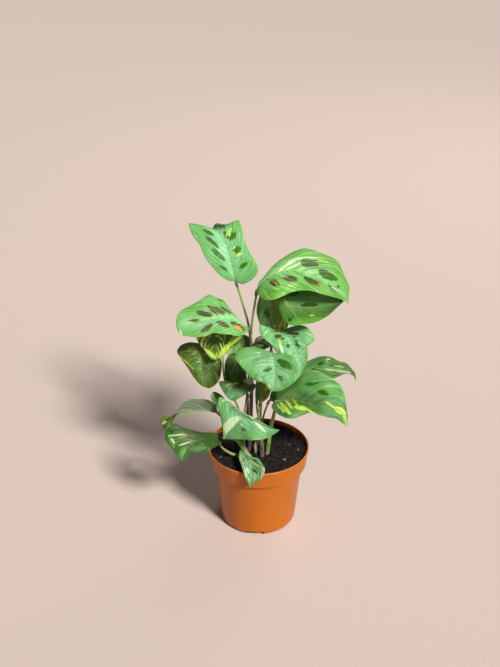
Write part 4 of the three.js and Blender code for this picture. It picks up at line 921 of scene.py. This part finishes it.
# ---------------------------------------------------------------- leaves
def sheet(row, us, vs):
    """A blade's middle surface over the shares us along it and vs across it."""
    rib, left, right, lean, (arch, amp, waves, phase) = row
    rib_line = curve_seen(rib)

    def margin(points, gradient):
        flat = np.array([rib[0][:2], *[p[:2] for p in points], rib[-1][:2]], float)
        at = np.concatenate([[0], np.cumsum(np.linalg.norm(np.diff(flat, axis=0), axis=1))])
        on_rib = rib_line(at / at[-1])
        out = [seen(*rib[0])]
        for p, r in zip(points, on_rib[1:]):
            across, down = np.array(p[:2]) - look(r)
            extra = p[2] if len(p) > 2 else 0
            out.append(seen(p[0], p[1], r[1] + gradient[0] * across + gradient[1] * down + extra))
        out.append(seen(*rib[-1]))
        return curve(out)

    middle, a, b = rib_line(us), margin(left, lean[0])(us), margin(right, lean[1])(us)
    side = np.abs(vs)[None, :]
    edge = np.where(vs[None, :, None] < 0, a[:, None], b[:, None])
    grid = middle[:, None] * (1 - side[..., None]) + edge * side[..., None]
    normal = normals(grid)
    parts = 12 if rib_line.length > LARGE else 7   # the blunt ends take one part each
    row_in = len(us) // parts
    start, end = unit(b[row_in] - a[row_in]), unit(b[-1 - row_in] - a[-1 - row_in])
    grid += (BASE_W * np.maximum(0, 1 - parts * us))[:, None, None] * vs[None, :, None] * start
    grid += (TIP_W * np.maximum(0, 1 - parts * (1 - us)))[:, None, None] * vs[None, :, None] * end
    wide = np.linalg.norm(b - a, axis=1) / 2
    shift = np.where(vs < 0, 0, 1.7)[None, :]
    wave = amp * side * side * np.sin(2 * np.pi * waves * us[:, None] + phase + shift)
    wave *= np.sqrt(np.maximum(0, np.sin(np.pi * us)))[:, None]
    lift = arch * wide[:, None] * 4 * side * (1 - side) + wave
    grid += normal * lift[..., None]
    return grid, wide, rib_line


def normals(grid):
    n = unit(np.cross(np.gradient(grid, axis=1), np.gradient(grid, axis=0)))
    n[0], n[-1] = n[1], n[-2]
    return n


def faces_of(middle, u, v, s, off_rib, roll):
    """A blade's upper and lower face round its middle surface, which rolls a little and
    swells between its side veins."""
    side = np.abs(v)
    between = np.abs(np.sin(np.pi * VEINS * s)) ** 0.8
    held = smooth(0.02, 0.3, side) * smooth(1.0, 0.75, side) * np.sqrt(np.sin(np.pi * np.clip(u, 0, 1)))
    swell = (PUFF * between + ROLL * roll * smooth(0, 0.4, side)) * held
    middle = middle + normals(middle) * swell[..., None]
    up = normals(middle)
    fade = 1 - 0.75 * u
    keel, groove = KEEL * bell(off_rib, 0.8) * fade, GROOVE * bell(off_rib, 0.7) * fade
    thin = LAMINA / 2 * (1 - 0.45 * smooth(0.85, 1.0, side))
    return middle, middle + up * (thin - groove)[..., None], middle - up * (thin + keel)[..., None], thin


def closed_blade(middle, top, low, thin):
    """The points of a blade closed by a round rim, its faces above and below, and the margin."""
    rows, cols = thin.shape
    index = np.arange(rows * cols).reshape(rows, cols)
    loop = np.concatenate([index[0], index[1:, -1], index[-1, -2::-1], index[-2:0:-1, 0]])
    middle, top, low = (a.reshape(-1, 3) for a in (middle, top, low))
    rim = (top[loop] + low[loop]) / 2
    rim += 0.35 * thin[:, -1].mean() * unit(rim - middle[loop].mean(0))
    n = rows * cols
    here = 2 * n + np.arange(len(loop))
    after, loop_after = np.roll(here, -1), np.roll(loop, -1)
    above = lattice(rows, cols)
    below = [tuple(n + i for i in f[::-1]) for f in above]
    above += np.stack([loop, here, after, loop_after], -1).tolist()
    below += np.stack([here, n + loop, n + loop_after, after], -1).tolist()
    return np.concatenate([top, low, rim]), above, below, loop


def along_marks(view, marks):
    """For each mark, how far every seen point is from its line, and how far along it."""
    for x0, y0, x1, y1, width in marks:
        start, run = np.array([x0, y0]), np.array([x1 - x0, y1 - y0])
        t = np.clip((view - start) @ run / (run @ run), 0, 1)
        yield np.linalg.norm(view - start - t[..., None] * run, axis=-1), t, width


def reach_of(view, marks):
    """How far each seen point lies outside the nearest mark, in mm."""
    best = np.full(view.shape[:-1], FAR)
    for far, t, width in along_marks(view, marks):
        best = np.minimum(best, (far - width * (0.5 + 0.5 * np.sin(np.pi * t))) * PX_MM)
    return best


def glow_of(view, marks):
    """1 in the middle of a mark, fading out round it."""
    total = np.zeros(view.shape[:-1])
    for far, _, width in along_marks(view, marks):
        total = np.maximum(total, bell(far, width))
    return total


def grown_blotches(s, v, length, wide, count, rng):
    """Two rows of blotches drawn out along the side veins, one on each half, a bit less than
    halfway out to the margin and over the first two thirds of the leaf."""
    best = np.full(s.shape, FAR)
    for half in (-1, 1):
        for k in range(count):
            at = (k + 0.35 + 0.3 * rng.random()) / count * 0.72 - 0.04
            out = 0.42 + 0.06 * rng.normal()
            across = (s - at) * length * 0.55
            along = (np.abs(v) - out) * wide[:, None]
            size = 1.9 + 0.5 * rng.random()
            d = np.sqrt(across**2 + (along * 0.42) ** 2) - size
            best = np.minimum(best, np.where(np.sign(v) == half, d, FAR))
    return best


def painted(name, number, view, u, v, s, off_rib, roll, wide, length):
    """The values that the leaf materials read, three to a name."""
    marks = MARKS.get(name, {})
    reach = {kind: reach_of(view, marks.get(kind, ())) for kind in EDGED}
    glow = {kind: glow_of(view, marks.get(kind, ())) for kind in FADING}
    dark, streaked, fresh, stripes, flecks, count = LOOKS[name]
    blotch = np.minimum(reach["brown"], reach["green"])
    brown = 1 / (1 + np.exp(np.clip((reach["brown"] - reach["green"]) / 0.5, -30, 30)))
    if count:
        grown = grown_blotches(s, v, length, wide, count, np.random.default_rng(100 + number))
        brown = np.where(grown < blotch, 0.55, brown)
        blotch = np.minimum(blotch, grown)
    cream = np.minimum(reach["cream"], np.where(v <= 0, reach["half"], FAR))
    cream = np.maximum(cream, 0.4 - reach["gap"])
    # the leaf's tone: its own darkness with painted shade and painted light, from its look and from the dark
    # and light marks
    tone_and_shade = np.clip(dark + 0.35 * glow["dark"] - 0.35 * glow["light"] + 0.08 * roll, 0, 1)
    values = {"veins": (s, v, u), "marks": (blotch, cream, reach["yellow"]),
              "tones": (brown, reach["orange"], tone_and_shade), "extra": (streaked, 7.3 * number, off_rib),
              "cast": (fresh, glow["shade"], length), "flair": (stripes, flecks, glow["mustard"])}
    return {title: np.stack([x + 0 * s for x in row], -1).reshape(-1, 3) for title, row in values.items()}


def leaf(name, row, number):
    """A blade with the pulvinus, the swollen joint that turns it."""
    length = curve_seen(row[0]).length
    rows, half = LARGE_GRID if length > LARGE else SMALL_GRID
    us, across = np.linspace(0, 1, rows), np.linspace(-1, 1, 2 * half + 1)
    vs = np.sign(across) * np.abs(across) ** CROWD
    middle, wide, rib_line = sheet(row, us, vs)
    u, v = np.meshgrid(us, vs, indexing="ij")
    s = u - SLANT * np.abs(v) ** BOW
    off_rib = np.abs(v) * wide[:, None]
    roll = fractal((middle / 16).reshape(-1, 3), 1.0, number, 2).reshape(u.shape)
    values = painted(name, number, look(middle), u, v, s, off_rib, roll, wide, length)
    points, above, below, margin = closed_blade(*faces_of(middle, u, v, s, off_rib, roll))
    form = Form()
    form.add(points, above + below, [0] * len(above) + [1] * len(below),
             **{title: np.concatenate([a, a, a[margin]]) for title, a in values.items()})

    read, end = petiole_line(name, rib_line)
    radius = PETIOLES[name][2][1]

    def swell(x):
        return radius * (1.30 + 0.10 * math.sin(math.pi * min(1, 1.4 * x)) - 0.62 * smooth(0.45, 1.0, x))

    def hue(x):
        return np.stack([0.55 - 0.3 * x, 0 * x, 0.62 - 0.62 * smooth(0.35, 0.9, x)], -1)

    tube(form, read, end, (read.length - 1.0) / read.length, swell, PETIOLE_SIDES, 20, 2, hue=hue)
    form.piece(name + "_blade", [UPPER, UNDER, SKIN], name)


def petiole_line(name, rib_line):
    """The line of a petiole into its blade, and the share where the pulvinus starts."""
    inside = min(0.3, RIB_HOLD / rib_line.length)
    read = curve([*[seen(*p) for p in PETIOLES[name][1]], *rib_line(np.array([0.0, inside]))])
    return read, (read.length - RIB_HOLD - min(PULVINUS, 0.35 * read.length)) / read.length


# ---------------------------------------------------------------- stems
def stem(name):
    """A shoot with the petioles that grow from it."""
    points, (r0, r1) = SHOOTS[name]
    low, high, pale, reach = STEM_LOOKS[name]
    path = [seen(*p) for p in points]
    foot, knee = path[0].copy(), path[0].copy()
    foot[2], knee[2] = SOIL_Z - ROOT_DEPTH, SOIL_Z - 6
    read = curve([foot, knee, *path])
    rings = max(12, int(read.length / STEM_STEP))
    joints = [0.30, 0.62] if read.length > TALL else [0.55]

    def joint_at(x, spread):
        return sum(bell((x - j) * read.length, spread) for j in joints)

    def radius(x):
        return (r0 + (r1 - r0) * x) * (0.97 + 0.10 * joint_at(x, 1.8))

    def hue(x):
        sheath = pale * smooth(reach + 0.15, reach - 0.1, x)
        buried = smooth(SOIL_Z + 2, SOIL_Z - 4, read(x)[:, 2])
        dark = np.clip(0.8 * buried + 0.25 * joint_at(x, 1.2), 0, 1)
        return np.stack([low + (high - low) * x, sheath, dark], -1)

    form = Form()
    tube(form, read, GAP / read.length, 1, radius, STEM_SIDES, rings, hue=hue)
    for leaf_name, (shoot, _, radii) in PETIOLES.items():
        if shoot == name:
            petiole(form, leaf_name, radii, high, pale)
    if name == "stem_bud":
        bud(form, seen(*points[1]))
    form.piece(name + "_shoot", [SKIN], name)


def petiole(form, leaf_name, radii, purple, pale):
    """A petiole, whose foot the shoot's sheath wraps and which thins out along it."""
    line, end = petiole_line(leaf_name, curve_seen(LEAVES[leaf_name][0]))
    wrap = min(0.45, 16 / line.length)

    def stalk(x):
        return (radii[0] + (radii[1] - radii[0]) * x) * (1 + 0.16 * bell(x, wrap))

    def hue(x):
        return np.stack([purple * smooth(0.75, 0.1, x) + 0.12 * smooth(0.8, 1.0, x),
                         (0.25 + 0.5 * pale) * smooth(wrap * 1.6, wrap * 0.3, x),
                         0.55 * smooth(0.965, 1.0, x)], -1)

    rings = max(10, int(line.length / PETIOLE_STEP))
    tube(form, line, 0, end - GAP / line.length, stalk, PETIOLE_SIDES, rings, hue=hue)


def bud(form, top):
    """The pale pointed bud at the top of its stem."""
    line = curve([top + [0, 0, -2], top + [0, 0, 4], top + [0.6, 0, 10]])

    def fat(x):
        return 2.5 * math.sqrt(max(0, 1 - x)) * (0.82 + 0.18 * math.sin(math.pi * x)) + 0.28

    def hue(x):
        return np.stack([0.05 + 0 * x, 0.45 + 0 * x, 0 * x], -1)

    tube(form, line, 0, 0.985, fat, STEM_SIDES, 24, hue=hue)


# ---------------------------------------------------------------- pot
def rounded(profile, radius=0.5, steps=4):
    """An outline with its corners turned into short arcs."""
    pts = [np.array(p, float) for p in profile]
    out = [pts[0]]
    for a, b, c in zip(pts, pts[1:], pts[2:]):
        cut = min(radius, 0.45 * np.linalg.norm(b - a), 0.45 * np.linalg.norm(c - b))
        p, q = b + unit(a - b) * cut, b + unit(c - b) * cut
        for t in np.linspace(0, 1, steps):
            out.append((1 - t) ** 2 * p + 2 * t * (1 - t) * b + t * t * q)
    return out + [pts[-1]]


def level_ring(radius, height, sides):
    turn = turns(sides)
    return np.stack([radius * np.cos(turn), radius * np.sin(turn), np.full(sides, height)], -1)


def cut_out(mesh_object, cutters):
    """Takes the cutters out of the object."""
    for c in cutters:
        m = mesh_object.modifiers.new("cut", "BOOLEAN")
        m.operation, m.object, m.solver = "DIFFERENCE", c, "EXACT"
    graph = bpy.context.evaluated_depsgraph_get()
    made = bpy.data.meshes.new_from_object(mesh_object.evaluated_get(graph))
    mesh_object.modifiers.clear()
    mesh_object.data = made
    for c in cutters:
        bpy.data.objects.remove(c)


def cutter(make, turn=0.0, move=(0, 0, 0)):
    """A closed tool made by a bmesh call, then turned about the pot's axis and moved in mm."""
    bm = bmesh.new()
    make(bm)
    bm.transform(Matrix.Translation(Vector(move) * MM) @ Matrix.Rotation(turn, 4, "Z"))
    mesh = bpy.data.meshes.new("tool")
    bm.to_mesh(mesh)
    bm.free()
    return linked("tool", mesh)


def notch(bm):
    bmesh.ops.create_cube(bm, size=1)
    bmesh.ops.scale(bm, verts=bm.verts, vec=Vector((NOTCH_W, 16, 2 * NOTCH_H)) * MM)
    bmesh.ops.translate(bm, verts=bm.verts, vec=Vector((0, 2 - FOOT_R, 0)) * MM)
    bmesh.ops.bevel(bm, geom=bm.edges, offset=0.5 * MM, segments=2, affect="EDGES")


def drain(bm):
    bmesh.ops.create_cone(bm, cap_ends=True, segments=28, radius1=DRAIN_R * MM, radius2=DRAIN_R * MM,
                          depth=12 * MM)


def pot():
    profile = rounded([
        (0, 0), (PAD_R, 0), (PAD_R + 1.5, FLOOR_Z), (FOOT_R - 8, FLOOR_Z), (FOOT_R - 7, 0),
        (FOOT_R - 5, 0), (FOOT_R - 2, 1.2), (FOOT_R - 0.5, 3.6), (FOOT_R, 6), (BODY_R, EDGE_Z - 0.6),
        (COLLAR_R - 0.5, EDGE_Z - 0.4), (COLLAR_R, EDGE_Z + 0.3),
        (RIM_R - 0.8, POT_H - 3.4), (RIM_R, POT_H - 2.4), (RIM_R, POT_H - 0.7), (RIM_R - 0.6, POT_H),
        (RIM_R - 1.5, POT_H), *INSIDE[::-1], (INNER_R - 1.6, FLOOR_TOP), (0, FLOOR_TOP)])
    form = Form()
    form.add(*barrel(np.stack([level_ring(r, h, POT_SIDES) for r, h in profile[1:-1]]),
                     [[0, 0, profile[0][1]], [0, 0, profile[-1][1]]]))
    body = form.piece("pot_body", [PLASTIC], "pot")
    tools = [cutter(notch, math.radians(360 * k / NOTCHES + NOTCH_TURN)) for k in range(NOTCHES)]
    for k in range(DRAINS):
        a = 2 * math.pi * (k + 0.5) / DRAINS
        tools.append(cutter(drain, 0, (DRAIN_AT * math.cos(a), DRAIN_AT * math.sin(a), FLOOR_TOP)))
    cut_out(body, tools)
    shade_by_angle(body, 32)


def shade_by_angle(obj, degrees):
    """Smooth faces, with the edges sharper than an angle left crisp."""
    bm = bmesh.new()
    bm.from_mesh(obj.data)
    for f in bm.faces:
        f.smooth = True
    for e in bm.edges:
        if len(e.link_faces) == 2 and e.calc_face_angle() > math.radians(degrees):
            e.smooth = False
    bm.to_mesh(obj.data)
    bm.free()


# ---------------------------------------------------------------- soil
def chip_places():
    """Where the bark chips lie: middle, size and turn, as in the solids."""
    out = []
    for px, py, long, wide, high, turn in BARK_SEEN:
        a, b = seen(px, py, -40), seen(px, py, 40)
        at = a + (SOIL_Z - a[2]) / (b[2] - a[2]) * (b - a)
        out.append((at[0], at[1], long, wide, high, math.radians(turn)))
    return out


CHIPS = chip_places()


def off_chips(x, y, spread):
    """For each chip, 0 in its middle and 1 well away from it."""
    return [1 - np.exp(-((x - c[0]) ** 2 + (y - c[1]) ** 2) / spread) for c in CHIPS]


def relief(x, y):
    """The soil's broad swells, which are in the solids too."""
    z = (0.9 * np.sin(0.21 * x + 0.6) * np.cos(0.17 * y - 0.4) + 0.55 * np.sin(0.47 * x - 0.31 * y + 1.1)
         + 0.4 * np.cos(0.39 * x + 0.52 * y))
    for clear in off_chips(x, y, 200):
        z = z * clear
    return z


def soil_edge(z):
    """How far the soil reaches inside the pot at height z."""
    return float(np.interp(z, [h for _, h in INSIDE], [r for r, _ in INSIDE])) - 0.12


def soil_top(x, y):
    """Height of the finished soil, with its clods as relief."""
    x, y = np.atleast_1d(x), np.atleast_1d(y)
    flat = np.stack([x, y, 0 * x], -1).reshape(-1, 3)
    big = fractal(flat, 0.14, 1, 3).reshape(x.shape)
    clod = fractal(flat, 0.42, 2, 5).reshape(x.shape)
    near = np.ones_like(x)
    for clear in off_chips(x, y, 14):
        near = np.minimum(near, 0.25 + 0.75 * clear)
    return SOIL_Z + relief(x, y) + near * (0.7 * big + 1.0 * np.abs(clod) - 0.45)


def soil():
    low = FLOOR_TOP + GAP
    (r1, h1), (r2, h2) = INSIDE[1:3]
    wall = [(soil_edge(low + 2) - 2.2, low), (soil_edge(low + 3), low + 3), (r1 - 0.2, h1 + 0.2),
            (r2 - 0.2, h2 + 0.2), (soil_edge(SOIL_Z - 2), SOIL_Z - 2.2)]
    top_r = soil_edge(SOIL_Z - 1) - 0.1
    turn, radii = turns(SOIL_SIDES), top_r * (1 - np.arange(SOIL_RINGS) / SOIL_RINGS)
    x, y = np.outer(radii, np.cos(turn)), np.outer(radii, np.sin(turn))
    rings = [level_ring(r, h, SOIL_SIDES) for r, h in wall] + list(np.stack([x, y, soil_top(x, y)], -1))
    form = Form()
    form.add(*barrel(np.stack(rings), [[0, 0, low], [0, 0, soil_top(0.0, 0.0)[0]]]))
    rng = np.random.default_rng(11)
    crumbs(form, top_r - 1.5, rng)
    form.piece("soil_bed", [EARTH], "soil")
    fibres(top_r, rng)


def spot(reach, rng):
    """A random place on the soil."""
    r, a = reach * math.sqrt(rng.random()), 2 * math.pi * rng.random()
    return r * math.cos(a), r * math.sin(a)


def turned(rng):
    """A random turn."""
    q, _ = np.linalg.qr(rng.normal(size=(3, 3)))
    return q if np.linalg.det(q) > 0 else -q


def crumbs(form, reach, rng):
    """Loose grains that lie half sunk in the surface, away from the chips."""
    ball = bmesh.new()
    bmesh.ops.create_icosphere(ball, subdivisions=2, radius=1)
    verts = np.array([v.co for v in ball.verts])
    tris = [tuple(v.index for v in f.verts) for f in ball.faces]
    ball.free()
    for _ in range(CRUMBS):
        x, y = spot(reach, rng)
        size = 0.45 + 1.15 * rng.random() ** 3
        if any(math.hypot(x - c[0], y - c[1]) < 3.2 + size for c in CHIPS):
            continue
        lump = verts * (1 + 0.35 * fractal(verts, 1.3, rng.random() * 90, 2)[:, None])
        shape = lump * size * rng.uniform(0.6, 1.25, 3) @ turned(rng)
        form.add(shape + [x, y, soil_top(x, y)[0] + 0.15 * size], tris)


def fibres(top_r, rng):
    """Pale plant fibres on the surface."""
    form = Form()
    steps = np.linspace(-0.5, 0.5, 5)
    arc = (0.25 - steps**2) * 4
    for _ in range(STRANDS):
        x, y = spot(top_r - 4, rng)
        long, way = 2.2 + 6 * rng.random() ** 2, 2 * math.pi * rng.random()
        bend = 0.18 * long * rng.normal() * arc
        xs = x + long * steps * math.cos(way) - bend * math.sin(way)
        ys = y + long * steps * math.sin(way) + bend * math.cos(way)
        if max(np.hypot(xs, ys)) > top_r - 1.5:
            continue
        zs = soil_top(xs, ys) + 0.25 + 0.5 * rng.random() * arc
        thick = 0.08 + 0.10 * rng.random()
        tube(form, curve(np.stack([xs, ys, zs], -1)), 0, 1,
             lambda s: thick * (0.6 + 0.4 * math.sin(math.pi * s)), 6, 9)
    form.piece("soil_fibres", [FIBRE], None)


def chips():
    """Splinters of bark: flat, ridged lengthwise, broken at the ends."""
    n, m = 22, 16
    along, around = np.linspace(-1, 1, n)[:, None], turns(m)[None, :]
    ends = np.sqrt(np.clip(1 - np.abs(along) ** 5, 0.06, 1))
    for k, (x, y, long, wide, high, turn) in enumerate(CHIPS):
        rng = np.random.default_rng(31 + k)
        ridge = 1 + 0.10 * np.sin(3 * around + rng.random() * 6) + 0.06 * rng.normal(size=(1, m))
        rough = 1 + 0.05 * rng.normal(size=(n, m))
        px = along * long / 2 * (1 + 0.05 * rng.normal(size=(1, m)))
        py = wide / 2 * np.cos(around) * ends * ridge * rough
        pz = high / 2 * np.sin(around) * ends * ridge * rough
        c, s = math.cos(turn), math.sin(turn)
        sunk = SOIL_Z + GAP + high / 2 - 0.2
        grid = np.stack([x + c * px - s * py, y + s * px + c * py, sunk + pz], -1)
        points, faces = barrel(grid, [grid[0].mean(0), grid[-1].mean(0)])
        form = Form()
        form.add(points, [f[::-1] for f in faces])
        form.piece(f"bark_chip_{k + 1}", [BARK], f"bark_{k + 1}")


# ---------------------------------------------------------------- studio, in metres
def ground(h=6.0):
    """A plain sheet of paper under the pot, h to each side."""
    mesh = bpy.data.meshes.new("floor")
    mesh.from_pydata([(-h, -h, 0), (h, -h, 0), (h, h, 0), (-h, h, 0)], [], [(0, 1, 2, 3)])
    t = Tree("floor_paper")
    tooth = t.noise(t.place(), 500, 3)
    tint = t.mix(tooth, rgb(198, 178, 168), rgb(206, 188, 178))
    mesh.materials.append(t.solid(tint, 0.9, t.bump(tooth, 0.0003, 0.2)))
    floor = linked("floor", mesh)


def lamp(name, kind, energy, colour, at, aim):
    """A light at a place that shines along aim; returns its data."""
    data = bpy.data.lights.new(name, kind)
    data.energy, data.color = energy, colour
    obj = linked(name, data)
    obj.location = at
    obj.rotation_euler = Vector(aim).to_track_quat("-Z", "Y").to_euler()
    return data


def lights():
    key = lamp("key", "SUN", 4.9, (1.0, 0.99, 0.97), (0, 0, 0), (-0.62, 0.88, -0.98))
    key.angle = math.radians(12)
    for name, at, size, energy, colour in (("fill", (-1.6, -1.4, 1.2), 1.8, 0.5, (0.95, 0.97, 1.0)),
                                           ("back", (0.9, 1.5, 1.5), 1.0, 7, (1.0, 0.97, 0.93))):
        data = lamp(name, "AREA", energy, colour, at, Vector((0, 0, 0.2)) - Vector(at))
        data.shape, data.size = "SQUARE", size
    world = bpy.data.worlds.new("room")
    world.use_nodes = True
    sky = world.node_tree.nodes["Background"]
    sky.inputs["Color"].default_value = (0.95, 0.93, 0.92, 1)
    sky.inputs["Strength"].default_value = 0.12
    bpy.context.scene.world = world
    bpy.context.scene.view_settings.view_transform = "Standard"


def camera(sensor=36.0):
    data = bpy.data.cameras.new("camera")
    data.sensor_fit, data.sensor_height = "VERTICAL", sensor
    data.lens = sensor * REACH / VIEW_H
    data.clip_start, data.clip_end = 0.05, 50
    obj = linked("camera", data)
    obj.location = EYE * MM
    obj.rotation_euler = (math.pi / 2 - DOWN, 0, 0)
    bpy.context.scene.camera = obj


for number, (name, row) in enumerate(LEAVES.items()):
    leaf(name, row, number)
for name in SHOOTS:
    stem(name)
pot()
soil()
chips()
ground()
lights()
camera()
